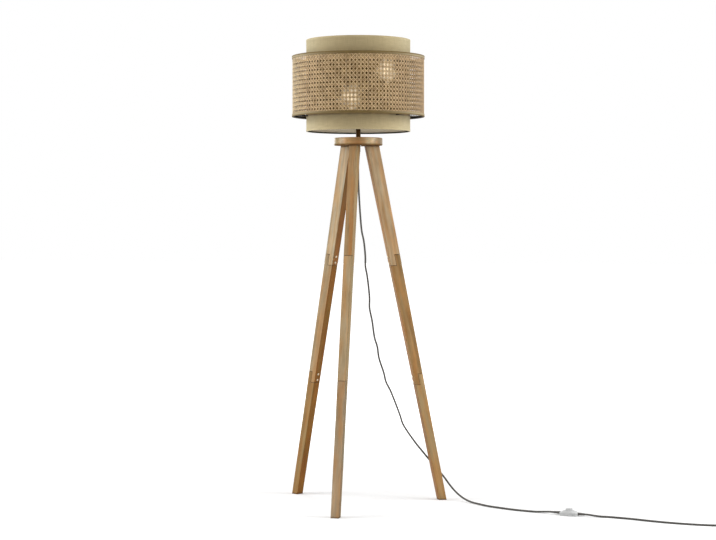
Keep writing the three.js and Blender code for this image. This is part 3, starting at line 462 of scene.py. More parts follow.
def wood_grain():
    """Wood grain along the first coordinate, in metres: faint growth bands, streaks, long fibres and
    short dark pores. Each is given its waves to the metre along the grain and twice across it."""
    g, entry, leave = group(
        "wood_grain",
        {"Vector": "vector", "Pale": "colour", "Dark": "colour", "Streak": "colour"},
        {"Color": "colour", "Height": "value", "Dull": "value"},
    )
    place = entry["Vector"]
    drift = g.noise(g.scaled(place, (1.6, 22.0, 22.0)), detail=2.0)
    aside = g.add("ShaderNodeCombineXYZ", {1: g.times(drift, 0.012), 2: g.times(drift, 0.009)}).outputs[0]
    shifted = g.vectors("ADD", place, aside)[0]
    bands = g.add("ShaderNodeTexWave", {
        "Vector": g.scaled(shifted, (1.2, 34.0, 20.0)), "Scale": 0.55, "Distortion": 5.0,
        "Detail": 3.0, "Detail Scale": 1.2,
    }, bands_direction="Y").outputs[1]
    fibres = g.noise(g.scaled(place, (5.0, 300.0, 300.0)), detail=1.0)
    streaks = g.noise(g.scaled(shifted, (11.0, 55.0, 55.0)), roughness=0.6)
    broad = g.noise(g.scaled(place, (0.9, 42.0, 42.0)), detail=1.0)
    pores = g.noise(g.scaled(place, (20.0, 520.0, 520.0)), detail=1.0)
    figure = g.plus(g.times(bands, 0.18), g.times(streaks, 0.82))
    base = g.mix(g.level(figure, 0.3, 0.74), entry["Pale"], entry["Dark"])
    base = g.mix(g.level(broad, 0.44, 0.64, 0.0, 0.55), base, entry["Streak"])
    base = g.mix(g.level(fibres, 0.4, 0.65, 0.0, 0.22), base, entry["Dark"])
    pore = g.level(pores, 0.62, 0.74)
    g.feed(leave["Color"], g.mix(g.times(pore, 0.45), base, PORE_BROWN))
    g.feed(leave["Height"], g.minus(g.times(fibres, 0.4), g.times(pore, 0.6)))
    g.feed(leave["Dull"], g.level(fibres, 0.3, 0.7))


def uneven_tone():
    """A soft mottling of a colour in space, at a scale in patches to the metre."""
    g, entry, leave = group(
        "uneven_tone",
        {"Vector": "vector", "Color": "colour", "Patches": "value", "Amount": "value"},
        {"Color": "colour", "Mask": "value"},
    )
    patches = g.noise(entry["Vector"], entry["Patches"], roughness=0.55)
    swing = g.times(g.minus(patches, 0.5), entry["Amount"])
    inputs = {"Value": g.plus(swing, 1.0), "Color": entry["Color"]}
    g.feed(leave["Color"], g.add("ShaderNodeHueSaturation", inputs).outputs[0])
    g.feed(leave["Mask"], patches)


def plain_weave():
    """Plain weave on a UV map in metres: two sets of threads that take turns on top, with slubs. A
    thread's height is a half sine across it, times a sine along it that changes sides with each
    thread."""
    g, entry, leave = group(
        "plain_weave",
        {"Vector": "vector", "Pitch": "value"},
        {"Height": "value", "Tone": "value"},
    )
    split = g.split(entry["Vector"])
    turns = [g.math("DIVIDE", split[k], entry["Pitch"]) for k in (0, 1)]
    threads = []
    for k in (0, 1):
        crown = g.size(g.math("SINE", g.times(turns[k], math.pi)))
        phase = g.plus(g.times(g.math("FLOOR", turns[k]), math.pi), g.times(turns[1 - k], math.pi))
        wave = g.math("SINE", g.plus(phase, math.pi * k))
        threads.append(g.times(crown, g.plus(g.times(wave, 0.5), 0.6)))
    g.feed(leave["Height"], g.most(*threads))
    slub_u = g.noise(g.scaled(entry["Vector"], (28.0, 1300.0, 1.0)), detail=2.0)
    slub_v = g.noise(g.scaled(entry["Vector"], (1300.0, 28.0, 1.0), (3, 7, 0)), detail=2.0)
    g.feed(leave["Tone"], g.plus(g.times(slub_u, 0.5), g.times(slub_v, 0.5)))


def lap_lines():
    """The dark lines of the half laps, from a place on the leg: its height, and its distance out from
    the leg's middle line. Each lap's line is level on the outer half at its upper end, level on the
    inner half at its lower end, and runs down the middle between them."""
    g, entry, leave = group("lap_lines", {"Place": "vector"}, {"Mask": "value"})
    split = g.split(entry["Place"])
    height, outwards = split[0], split[1]
    mask = 0.0
    for share in LAP_SHARES:
        lap = share * HEAD_LOW
        end = g.level(outwards, -0.2 * MM, 0.2 * MM, lap - LAP_REACH, lap + LAP_REACH)
        level = g.level(g.size(g.minus(height, end)), LAP_LINE * 0.6, LAP_LINE, 0.85, 0.0)
        beside = g.level(g.size(outwards), LAP_LINE * 0.4, LAP_LINE * 0.8, 0.7, 0.0)
        within = g.level(g.size(g.minus(height, lap)), LAP_REACH, LAP_REACH + 0.3 * MM, 1.0, 0.0)
        mask = g.most(mask, g.most(level, g.times(beside, within)))
    g.feed(leave["Mask"], mask)


# Finishes

# The dark brown of the half laps' lines, and of the painted shade where wood meets the head or the floor
JOINT_AND_SHADE_BROWN = (0.07, 0.035, 0.012)
COOL_TINT = (0.94, 1.03, 1.12)
WARM_TINT = (1.08, 0.955, 0.80)


def wood(name, pale, dark, streak, roughness, lacquer, relief, **plain):
    """Lacquered wood with its grain along the piece's own grain attribute and its colour multiplied by the
    tint of each face, which paints light and shade on it. It has small warm and cool patches, the dark
    lines of the half laps, and painted shade where it meets the head or the floor."""
    g, sockets = material(name, **plain)
    vector = g.attribute("grain")
    grain = placed(g, "wood_grain", {"Vector": vector, "Pale": pale, "Dark": dark, "Streak": streak})
    # The tint attribute paints light and shade on the legs' faces and highlights and shade on the disc's
    # rim.
    colour = g.tinted(grain["Color"], g.attribute("tint", "Color"))
    patches = g.noise(g.scaled(vector, (9.0, 75.0, 75.0), (4, 1, 2)), detail=2.0)
    colour = g.tinted(colour, g.mix(g.level(patches, 0.38, 0.62), COOL_TINT, WARM_TINT))
    lines = placed(g, "lap_lines", {"Place": g.attribute("place")})
    colour = g.mix(lines["Mask"], colour, JOINT_AND_SHADE_BROWN)
    # Painted shade where the wood meets the head or the floor, darkest at the joint and gone 7 mm away.
    height = g.split(g.coordinates())[2]
    apart = g.math("MINIMUM", g.size(g.minus(height, HEAD_LOW)), height)
    shade = g.level(apart, 1 * MM, 7 * MM, 1.0, 0.0)
    g.feed(sockets["Base Color"], g.mix(g.times(shade, 0.75), colour, JOINT_AND_SHADE_BROWN))
    gloss = g.level(grain["Dull"], 0, 1, roughness - 0.06, roughness + 0.1)
    g.feed(sockets["Roughness"], g.most(gloss, shade))
    coat = g.level(grain["Dull"], 0, 1, lacquer, lacquer * 0.5)
    g.feed(sockets["Coat Weight"], g.times(coat, g.minus(1.0, shade)))
    g.feed(sockets["Normal"], g.bump(grain["Height"], relief, 0.5))


# Two places on the cloth where light falls in through the webbing, painted as a glow from the cloth
# itself, and how far each one reaches
GLEAMS = [
    ((0.0150, -0.1225, 1.3085), 0.044),
    ((0.1240, -0.0760, 1.3900), 0.042),
]
GLEAM_COLOUR = (1.0, 0.85, 0.62)
# How strong the painted shade of the webbing is on the cloth, from 45 mm under the cane drum to 35 mm over
# it
WEBBING_SHADE_SPAN = (CANE_LOW - 45 * MM, CANE_TOP + 35 * MM)
WEBBING_SHADE_SHARES = [
    (0, 0), (0.07, 0.10), (0.13, 0.26), (0.155, 0.36), (0.18, 0.95), (0.78, 0.95), (0.868, 0.42),
    (0.90, 0.30), (0.95, 0.12), (1, 0),
]


def towards_camera(g):
    """How far a place is from the axis towards the drums' front side."""
    return g.vectors("DOT_PRODUCT", g.coordinates(), (math.cos(CANE_FRONT), math.sin(CANE_FRONT), 0))[1]


def sage_fabric():
    """Plain woven shade fabric: painted warmer and darker at the front for the cane's warm bounce light,
    dark and patchy with the webbing's painted shade where the webbing hides it, and with a painted glow of
    light round two places that fades evenly to nothing."""
    g, sockets = material("sage_fabric", Roughness=0.95, Sheen_Weight=0.08, Specular_IOR_Level=0.15,
                          Emission_Color=GLEAM_COLOUR)
    place = g.coordinates()
    weave = placed(g, "plain_weave", {"Vector": g.coordinates("UV"), "Pitch": 0.62 * MM})
    tone = placed(g, "uneven_tone", {
        "Vector": place, "Color": (0.63, 0.54, 0.335), "Patches": 9.0, "Amount": 0.08})
    colour = g.mix(g.level(weave["Tone"], 0.36, 0.64), (0.455, 0.385, 0.23), tone["Color"])
    # Painted shade in the hollows between the threads.
    colour = g.mix(g.level(weave["Height"], 0.0, 0.7, 0.5, 0.0), colour, (0.31, 0.252, 0.141))
    # Painted warm bounce light and shade on the front of the cloth.
    front = g.level(towards_camera(g), 0.04, 0.12)
    colour = g.mix(front, colour, (0.95, 0.9, 0.82), blend="MULTIPLY")
    # Painted shade where the cane drum shades the cloth: a warm dark brown, mottled by noise.
    webbing_shade = g.ramp(g.level(g.split(place)[2], *WEBBING_SHADE_SPAN), *((at, (v,) * 3) for at, v in WEBBING_SHADE_SHARES))
    shade_mottle = g.level(g.noise(place, 38.0, detail=1.0), 0.40, 0.62)
    colour = g.mix(webbing_shade, colour, g.mix(shade_mottle, (0.06, 0.029, 0.006), (0.155, 0.088, 0.028)))
    g.feed(sockets["Base Color"], colour)
    # The gleams are painted light: the cloth itself glows there.
    patchy = g.times(g.minus(g.noise(place, 45.0, detail=1.0), 0.5), 0.06)
    glow = 0.0
    for centre, reach in GLEAMS:
        away = g.plus(g.vectors("DISTANCE", place, centre)[1], patchy)
        glow = g.most(glow, g.level(away, 0.0, reach, 1.0, 0.0))
    g.feed(sockets["Emission Strength"], glow)
    g.feed(sockets["Normal"], g.bump(weave["Height"], 0.25 * MM, 0.7))


def plastic(name, colour, roughness, amount=0.12, grain=0.04 * MM, **plain):
    """Moulded plastic, paint or rubber: a fine grain in the surface and a little uneven tone."""
    g, sockets = material(name, **plain)
    place = g.coordinates()
    tone = placed(g, "uneven_tone", {"Vector": place, "Color": colour, "Patches": 40.0, "Amount": amount})
    g.feed(sockets["Base Color"], tone["Color"])
    g.feed(sockets["Roughness"], g.level(tone["Mask"], 0.3, 0.7, roughness - 0.05, roughness + 0.07))
    g.feed(sockets["Normal"], g.bump(g.noise(place, 2600.0, detail=1.0), grain, 0.6))


def metal(name, colour, roughness):
    """Metal with fine drawn lines."""
    g, sockets = material(name, Metallic=1.0)
    place = g.coordinates()
    lines = g.noise(g.scaled(place, (40.0, 40.0, 2600.0)), detail=2.0)
    tone = placed(g, "uneven_tone", {"Vector": place, "Color": colour, "Patches": 70.0, "Amount": 0.25})
    g.feed(sockets["Base Color"], tone["Color"])
    g.feed(sockets["Roughness"], g.level(lines, 0.3, 0.7, roughness - 0.07, roughness + 0.1))
    g.feed(sockets["Normal"], g.bump(lines, 0.03 * MM, 0.5))


# Painted light on the far left of the cane drum.
CANE_SUNLIT = (0.80, 0.74, 0.50)


def cane(name, pale, dark, shadow):
    """Split cane: glossy skin with fine fibres along each strand, and its own tone on every strand. It has
    painted shade to the right and painted light at the far left, and painted shade in small scattered
    patches and along its strands' edges."""
    g, sockets = material(name, Coat_Roughness=0.3, IOR=1.5)
    place = g.coordinates()
    fibres = g.noise(g.scaled(g.coordinates("UV"), (60.0, 14.0, 1.0)), roughness=0.6)
    blotch = g.noise(place, 42.0, detail=2.0)
    mixed = g.plus(g.times(fibres, 0.3), g.times(blotch, 0.35))
    mixed = g.plus(mixed, g.times(g.attribute("tone", "Fac"), 0.35))
    colour = g.ramp(mixed, (0.28, dark), (0.5, pale), (0.72, tuple(min(1.0, c * 1.22) for c in pale)))
    aside = g.split(place)[0]
    # Painted shade to the right of the drum, then painted light at the far left.
    colour = g.mix(g.level(aside, 0.12, 0.20, 0.0, 0.5), colour, dark)
    colour = g.mix(g.level(aside, -0.19, -0.13, 0.2, 0.0), colour, CANE_SUNLIT)
    # Painted shade in small scattered patches, and along each strand's edges from the edge attribute.
    colour = g.mix(g.level(g.noise(place, 160.0, detail=1.0), 0.62, 0.75, 0.0, 0.5), colour, shadow)
    colour = g.mix(g.level(g.attribute("edge", "Fac"), 0.5, 1.0, 0.0, 0.8), colour, shadow)
    g.feed(sockets["Base Color"], colour)
    g.feed(sockets["Roughness"], g.level(fibres, 0.3, 0.7, 0.38, 0.55))
    g.feed(sockets["Coat Weight"], g.level(blotch, 0.3, 0.7, 0.1, 0.3))
    g.feed(sockets["Normal"], g.bump(fibres, 0.12 * MM, 0.5))


def binding_tape():
    """Olive-brown woven tape over the edges of the cane drum: painted pale with a sheen of light towards
    the drum's two sides, but for a dark line along the drum's edges, and almost black with painted shade
    on its inner face, which the UV map holds past the strip's height."""
    g, sockets = material("cane_edge", Roughness=0.9, Sheen_Weight=0.1, Specular_IOR_Level=0.2)
    uv = g.coordinates("UV")
    place = g.coordinates()
    weave = placed(g, "plain_weave", {"Vector": uv, "Pitch": 1.1 * MM})
    tone = placed(g, "uneven_tone", {
        "Vector": place, "Color": (0.17, 0.115, 0.04), "Patches": 60.0, "Amount": 0.5})
    # Painted shade in the hollows between the tape's threads.
    colour = g.mix(g.level(weave["Height"], 0.0, 0.7, 0.6, 0.0), tone["Color"], (0.08, 0.05, 0.014))
    half = (CANE_TOP - CANE_LOW) / 2
    from_middle = g.size(g.minus(g.split(place)[2], CANE_LOW + half))
    # Painted sheen of light on the tape towards the drum's two sides, kept off its edges.
    off_edge = g.level(from_middle, half - 4.5 * MM, half - 2.5 * MM, 0.8, 0.0)
    side_sheen = g.level(towards_camera(g), 0.08, 0.17, 1.0, 0.0)
    colour = g.mix(g.times(off_edge, side_sheen), colour, (0.40, 0.33, 0.20))
    # Painted shade on the tape's inner face.
    inner_face_shade = g.level(g.split(uv)[1], TRIM_HEIGHT * 1.06, TRIM_HEIGHT * 1.1)
    g.feed(sockets["Base Color"], g.mix(inner_face_shade, colour, (0.014, 0.01, 0.006)))
    g.feed(sockets["Normal"], g.bump(weave["Height"], 0.4 * MM, 0.8))


def braided_textile():
    """A braided textile sheath on a UV map with metres along and one turn round: two sets of yarns that
    cross, light flecks among dark ones."""
    g, sockets = material("braided_textile", Roughness=0.9, Sheen_Weight=0.05, Specular_IOR_Level=0.25)
    uv = g.coordinates("UV")
    split = g.split(uv)
    along = g.math("DIVIDE", split[0], 2.1 * MM)
    round_about = g.times(split[1], 8.0)
    yarns = []
    for side in (1, -1):
        turns = g.math("MULTIPLY_ADD", round_about, side, along)
        yarns.append(g.math("SINE", g.times(turns, TURN)))
    over = g.times(*yarns)
    yarn = g.most(g.size(yarns[0]), g.size(yarns[1]))
    flecks = g.noise(g.scaled(uv, (420.0, 9.0, 1.0)), detail=2.0)
    colour = g.mix(g.level(flecks, 0.4, 0.66), (0.066, 0.062, 0.055), (0.19, 0.182, 0.164))
    # Painted shade where the yarns dip under one another.
    g.feed(sockets["Base Color"], g.mix(g.level(over, -0.5, 0.6, 0.45, 0.0), colour, (0.04, 0.037, 0.033)))
    g.feed(sockets["Normal"], g.bump(g.plus(yarn, over), 0.25 * MM, 0.8))


def build_materials():
    """The finish of every surface, by name. A name of a material slot stands for that slot."""
    wood("head_wood", (0.46, 0.25, 0.078), (0.23, 0.104, 0.025), (0.36, 0.157, 0.04), 0.42, 0.85,
         0.02 * MM, Coat_Roughness=0.32, Coat_IOR=1.55, Specular_IOR_Level=0.3,
         Specular_Tint=(1.0, 0.8, 0.5))
    wood("pale_wood", (0.52, 0.355, 0.19), (0.30, 0.18, 0.08), (0.41, 0.23, 0.10), 0.55, 0.06,
         0.25 * MM, Specular_IOR_Level=0.15)
    wood("warm_wood", (0.52, 0.345, 0.185), (0.30, 0.175, 0.075), (0.41, 0.22, 0.09), 0.55, 0.06,
         0.25 * MM, Specular_IOR_Level=0.15)
    sage_fabric()
    # The white lining's colour is darkened to a beige to paint the shade inside the drum.
    plastic("white_lining", (0.66, 0.60, 0.47), 0.75, amount=0.03)
    # cane and cane_skin are a darker and a paler copy of one cane: the paler one, on the diagonals, paints
    # the highlights on their crests.
    cane("cane", (0.40, 0.255, 0.10), (0.20, 0.115, 0.036), (0.06, 0.03, 0.008))
    cane("cane_skin", (0.67, 0.465, 0.225), (0.36, 0.225, 0.088), (0.08, 0.042, 0.012))
    binding_tape()
    plastic("black_wire", (0.006, 0.005, 0.004), 0.7, Specular_IOR_Level=0.06)
    metal("bronze", (0.055, 0.027, 0.009), 0.42)
    metal("brass", (0.52, 0.43, 0.31), 0.45)
    metal("steel", (0.60, 0.61, 0.62), 0.32)
    plastic("black_plastic", (0.024, 0.023, 0.022), 0.45)
    plastic("white_ceramic", (0.84, 0.82, 0.77), 0.2, amount=0.03, Coat_Weight=0.5)
    braided_textile()
    plastic("grey_textile", (0.13, 0.125, 0.11), 0.85)
    plastic("grey_rubber", (0.085, 0.08, 0.072), 0.65)
    plastic("tie_strap", (0.02, 0.02, 0.021), 0.8, grain=0.2 * MM)
    plastic("clear_white_plastic", (0.57, 0.575, 0.57), 0.28, amount=0.05, Subsurface_Weight=0.35,
            Subsurface_Radius=(0.004, 0.004, 0.004), Transmission_Weight=0.12, IOR=1.49)


for build in (wood_grain, uneven_tone, plain_weave, lap_lines, build_materials):
    build()
for part in frame["record"]["subparts"]:
    cad = frame["nodes"][part["node"]]
    cad.data.materials.clear()
    cad.data.materials.append(MATERIALS[part["material_slot"]])


# Cord. The route repeats the model's points, measured from the lamp's axis.

CORD_RADIUS = 3 * MM
CORD_GAP = 0.3 * MM
STRAIGHT_RUN = 4 * CORD_RADIUS  # where the cord leaves the switch
ROUTE_STEPS = 20  # between two points of the route
SWITCH_PLACE = np.array([695, -66.5, 7]) * MM
SWITCH_TURN = math.radians(-12)
SWITCH_HEADING = np.array([math.cos(SWITCH_TURN), math.sin(SWITCH_TURN), 0.0])
SLEEVE_TIP = 50.6 * MM
COIL_PLACE_X = 1202 * MM
COIL_ENTRY_Y = -154.5 * MM
COIL_RADIUS = 33.6 * MM
COIL_TURNS = 4.25
COIL_STEPS = 48  # to a turn
COIL_PITCH = 6.8 * MM
COIL_LOW = 4.6 * MM
COIL_TAIL = 34 * MM
PLUG_AXIS = 7.05 * MM
HANGING_POINTS = np.array([
    [0, 0, 1086], [1, 0.5, 1030], [3.4, 2, 978], [5.6, 3.9, 938], [10.2, 6.9, 882.5], [15.9, 9.6, 853.5],
    [20.4, 12.9, 801.5], [20.4, 14.6, 769], [24.9, 16.9, 743], [30.2, 20.8, 694], [32.1, 22.8, 665],
    [31.7, 24, 635.5], [39.2, 28.4, 593], [46.2, 34, 537.5], [54.2, 38.3, 508], [58.6, 42.8, 472],
    [72.9, 51.4, 422], [79, 56.7, 392.5], [92.4, 64.4, 362.5], [120.2, 85.3, 279], [127.6, 92.2, 252],
    [163, 114.8, 191], [186.6, 130.1, 157], [202, 140, 135.5], [224.5, 151, 106.5], [251.5, 155.5, 74],
    [278.3, 145.5, 43.5], [301, 132, 24.5], [326, 117, 10.6], [354.5, 89, 4.6],
]) * MM
FLOOR_POINTS_BEFORE = np.array([
    [387, 61, 3.2], [426, 27, 3.2], [466.5, 4, 3.2], [508.5, -17.5, 3.2], [549, -32, 3.2],
    [586.5, -41, 3.4], [608, -44.5, 4.6],
]) * MM
FLOOR_POINTS_AFTER = np.array([
    [790, -82.5, 3.9], [817, -81, 3.2], [856, -90, 3.2], [898, -102, 3.2], [942, -119, 3.2],
    [988, -134, 3.2], [1036, -145, 3.2], [1086, -152, 3.2], [1136, -154.5, 3.4], [1170, -154.5, 4.2],
]) * MM


def from_switch(distance):
    """A place on the cord's line through the switch."""
    return SWITCH_PLACE + SWITCH_HEADING * distance


def coil_point(angle):
    """A point of the coil after turning by angle: the radius falls by one pitch a turn to the middle
    and rises again, and the height climbs one pitch in the half turn round the middle."""
    full = COIL_TURNS * TURN
    outer = COIL_RADIUS + COIL_PITCH * COIL_TURNS / 4
    angle = np.asarray(angle, float)
    radius = outer - COIL_PITCH * (full / 2 - np.abs(angle - full / 2)) / TURN
    climb = np.clip((angle - full / 2) / math.pi + 0.5, 0, 1)
    bearing = angle - math.pi / 2
    return np.stack([
        COIL_PLACE_X + radius * np.cos(bearing), COIL_ENTRY_Y + outer + radius * np.sin(bearing),
        COIL_LOW + COIL_PITCH * climb,
    ], -1)


def upper_route():
    """From the grip down behind the right leg and along the floor to the switch."""
    start = np.array([[0, 0, heights("cord_grip")[0] - CORD_GAP]])
    inlet = np.array([from_switch(-SLEEVE_TIP - STRAIGHT_RUN), from_switch(-SLEEVE_TIP)])
    points = np.concatenate([start, HANGING_POINTS, FLOOR_POINTS_BEFORE, inlet])
    return curve_through(points, ROUTE_STEPS) + AXIS


def coil_exit():
    """The coil's last point, the level direction of the cord there, and the plug's foot."""
    last, almost = coil_point([COIL_TURNS * TURN, COIL_TURNS * TURN - 1e-3])
    heading = (last - almost) * [1, 1, 0]
    heading /= np.linalg.norm(heading)
    foot = last + heading * COIL_TAIL
    foot[2] = PLUG_AXIS
    return last, heading, foot


def lower_route():
    """From the switch along the floor, through the coil and down to the plug. The cord's height runs
    from the coil's to the plug's by a smooth step."""
    outlet = np.array([from_switch(SLEEVE_TIP), from_switch(SLEEVE_TIP + STRAIGHT_RUN)])
    entry = np.array([[COIL_PLACE_X - 2 * CORD_RADIUS, COIL_ENTRY_Y, COIL_LOW]])
    run = curve_through(np.concatenate([outlet, FLOOR_POINTS_AFTER, entry]), ROUTE_STEPS)
    turns = coil_point(np.linspace(0, COIL_TURNS * TURN, int(COIL_TURNS * COIL_STEPS) + 1))
    last, heading, _ = coil_exit()
    out = np.linspace(0, COIL_TAIL, 12)[1:]
    drop = smooth((out - CORD_RADIUS) / (COIL_TAIL - 3 * CORD_RADIUS))
    tail = last + heading * out[:, None]
    tail[:, 2] = last[2] + (PLUG_AXIS - last[2]) * drop
    return np.concatenate([run, turns, tail]) + AXIS


def cord_piece(name, path, nodes):
    """A length of cord: a round tube along its path."""
    skins = Skins()
    skins.add(*tube(path, CORD_RADIUS, 14))
    return finished(name, skins, "braided_textile", nodes, 60)


upper_path, lower_path = upper_route(), lower_route()
cord_to_switch = cord_piece("cord_to_switch", upper_path, ["cord_upper"])
cord_to_plug = cord_piece("cord_to_plug", lower_path, ["cord_lower", "cord_coil"])


# Foot switch, in its own frame: the cord runs through it along X

SWITCH_HALF = 30 * MM
SWITCH_HALF_WIDTH = 17 * MM
SWITCH_SPLIT = 7 * MM
SWITCH_TOP = 16.5 * MM
SWITCH_WALL = 2 * MM
SWITCH_GAP = 0.3 * MM
SWITCH_ROUNDNESS = 3.4
# The cover's dome: shares of the way in to the button's bore, and of its rise that its foot takes
COVER_WAY_SHARES = np.array([0, 0, 0.02, 0.06, *np.linspace(0.12, 0.97, 14), 1, 1])
COVER_FOOT_SHARES = (0.1, 0.16)
COVER_POWER = 0.9
COVER_LIP = np.array([0.1, 0.9]) * MM
COVER_EASE = 0.35 * MM
COVER_LEDGE = 0.5 * MM
# The base's rounded foot, up from the floor and in from its side, and its floor's rim and bore
BASE_FOOT = np.array([[0, 1.6], [0.25, 0.7], [0.9, 0.15], [1.6, 0]]) * MM
BASE_EASE = 0.4 * MM
BASE_RECESS = 0.2 * MM
BASE_FLOOR_SHARES = (0.98, 0.9)  # of the way in
BUTTON_RADIUS = 11 * MM
BUTTON_TOP = 23 * MM
BUTTON_WALL = 4 * MM
BUTTON_FLANGE = 1.2 * MM
BUTTON_FLANGE_HEIGHT = 1.8 * MM
BUTTON_DISH_SHARE = 0.72  # of the button's radius
BUTTON_DISH = 0.55 * MM
BUTTON_DISH_RIM = 0.1 * MM
# The button's rounded rim: how far in from its side and down from its top
BUTTON_RIM = np.array([[0, 2.2], [0.15, 1.3], [0.6, 0.5], [1.3, 0.1], [2.2, 0]]) * MM
SLEEVE_LENGTH = 20 * MM
SLEEVE_ROOT = 4.6 * MM
SLEEVE_END = 3.6 * MM
SLEEVE_NECK = 3.9 * MM
SLEEVE_GROOVE = 0.35 * MM
SLEEVE_GROOVES = 6


def at_switch(points):
    """Points of the switch's own frame, X along the cord and Z up from the floor, put in place."""
    c, s = math.cos(SWITCH_TURN), math.sin(SWITCH_TURN)
    x, y, z = np.moveaxis(np.asarray(points, float), -1, 0)
    return np.stack([c * x - s * y, s * x + c * y, z], -1) + SWITCH_PLACE * [1, 1, 0] + AXIS


def rounded_plan(angle, half_x, half_y, power):
    """A rounded rectangle in plan: |x/a|^p + |y/b|^p = 1."""
    c, s = np.cos(angle), np.sin(angle)
    return np.stack([
        half_x * np.sign(c) * np.abs(c) ** (2 / power), half_y * np.sign(s) * np.abs(s) ** (2 / power),
    ], -1)


def switch_rings(levels, sides=96):
    """Rings whose plan goes from the rounded rectangle of the base to the round bore of the button:
    each level is (height, share of the way in, shrink of both half lengths)."""
    angle = np.arange(sides) / sides * TURN
    bore = (BUTTON_RADIUS + SWITCH_GAP) * np.stack([np.cos(angle), np.sin(angle)], -1)
    rings = []
    for height, inwards, shrink in levels:
        rim = rounded_plan(angle, SWITCH_HALF - shrink, SWITCH_HALF_WIDTH - shrink, SWITCH_ROUNDNESS)
        plan = rim + (bore - rim) * inwards
        rings.append(np.concatenate([plan, np.full((sides, 1), height)], 1))
    return at_switch(np.array(rings))


def switch_cover():
    """The low dome: its height rises with a power of the sine of the way in, rounded at its foot, and
    its inner side runs one wall below."""
    foot = SWITCH_SPLIT + SWITCH_GAP
    rise = SWITCH_TOP - foot
    edge, start = COVER_FOOT_SHARES
    way = COVER_WAY_SHARES
    height = foot + rise * (start + (1 - start) * np.sin(way * math.pi / 2) ** COVER_POWER)
    height[:2] = foot, foot + rise * edge
    height[-2:] = SWITCH_TOP - COVER_LIP
    shrink = np.zeros(len(way))
    shrink[0] = COVER_EASE
    outer = list(zip(height, way, shrink))
    inner = [(h - SWITCH_WALL, w, SWITCH_WALL * (1 - w)) for h, w, _ in reversed(outer)]
    inner[-2:] = [(foot + COVER_LEDGE, 0, SWITCH_WALL), (foot, 0, SWITCH_WALL)]
    skins = Skins()
    skins.add(switch_rings(outer + inner), loop=True, capped=False)
    return dressed("switch_cover", skins, "clear_white_plastic", 40)


def switch_base():
    """The tray under the cover, with a rounded foot and a floor that is slightly hollow below."""
    middle, under = BASE_FLOOR_SHARES
    inset = BASE_FOOT[0, 1]
    levels = [
        *((height, 0, shrink) for height, shrink in BASE_FOOT),
        (SWITCH_SPLIT - BASE_EASE, 0, 0), (SWITCH_SPLIT, 0, BASE_EASE), (SWITCH_SPLIT, 0, SWITCH_WALL),
        (SWITCH_WALL, 0, SWITCH_WALL + SWITCH_GAP), (SWITCH_WALL, middle, SWITCH_WALL),
        (BASE_RECESS, middle, inset), (0, under, inset),
    ]
    skins = Skins()
    skins.add(switch_rings(levels))
    return dressed("switch_base", skins, "clear_white_plastic", 40)


def switch_button():
    """The round button, with a rounded rim, a shallow dish on top and a flange under the cover."""
    low, top = heights("switch_button")[0], BUTTON_TOP
    hollow = BUTTON_RADIUS - BUTTON_WALL
    flange = BUTTON_RADIUS + BUTTON_FLANGE
    shoulder = low + BUTTON_FLANGE_HEIGHT
    inside = [(0, top - BUTTON_WALL), (hollow, top - BUTTON_WALL), (hollow, low), (flange, low),
              (flange, shoulder), (BUTTON_RADIUS, shoulder)]
    rim = np.array([BUTTON_RADIUS, top]) - BUTTON_RIM
    way = np.linspace(0, 1, 7)
    dish = np.stack([
        BUTTON_RADIUS * BUTTON_DISH_SHARE * (1 - way), top - BUTTON_DISH_RIM - BUTTON_DISH * smooth(way),
    ], -1)
    return turned("switch_button", np.concatenate([inside, rim, dish]), "clear_white_plastic", 72,
                  at_switch, "foot_button")


def switch_sleeve(node, side):
    """A tapered rubber sleeve on the cord, with rings cut round it: the radius falls evenly to the tip
    and dips at each ring."""
    way = np.linspace(0, 1, 61)
    grooves = (np.abs(np.cos(way * SLEEVE_GROOVES * math.pi)) < 0.45) * (way > 0.05) * (way < 0.95)
    radius = SLEEVE_ROOT + (SLEEVE_END - SLEEVE_ROOT) * way - SLEEVE_GROOVE * grooves
    root = SWITCH_HALF - SWITCH_WALL
    mouth = SWITCH_HALF + SWITCH_GAP
    tip = mouth + SLEEVE_LENGTH
    profile = [(0, root), (SLEEVE_NECK, root), *zip(radius, mouth + SLEEVE_LENGTH * way),
               (CORD_RADIUS * 0.9, tip), (0, tip)]

    def laid(points):
        x, y, z = np.moveaxis(points, -1, 0)
        return at_switch(np.stack([side * z, y, x * side + SWITCH_SPLIT], -1))

    return turned(node, profile, "grey_rubber", 32, laid)


switch_pieces = [
    switch_cover(), switch_base(), switch_button(), switch_sleeve("switch_sleeve_in", -1),
    switch_sleeve("switch_sleeve_out", 1),
]


# Coil tie and plug

TIE_THICKNESS = 0.8 * MM
TIE_CORNER = 2.4 * MM
TIE_EDGE = 0.2 * MM
RELIEF_LENGTH = 26 * MM
RELIEF_TIP = 3.8 * MM
RELIEF_FLARE = 1.4 * MM
RELIEF_GROOVE = 0.45 * MM
RELIEF_GROOVES = 7
RELIEF_OVERLAP = 2 * MM
PLUG_LENGTH = 37 * MM
PLUG_HALF_WIDTH = 17.6 * MM
PLUG_HALF_THICKNESS = 6.8 * MM
PLUG_ROUNDNESS = 3.2
# Places along the plug, with the shares of its half width and half thickness there
PLUG_SHARES = np.array([
    [0, 0.30, 0.76], [0.06, 0.42, 0.86], [0.18, 0.62, 0.95], [0.42, 0.92, 0.99], [0.62, 0.995, 1],
    [0.9, 0.995, 1], [0.97, 0.97, 0.97], [1, 0.91, 0.86],
])


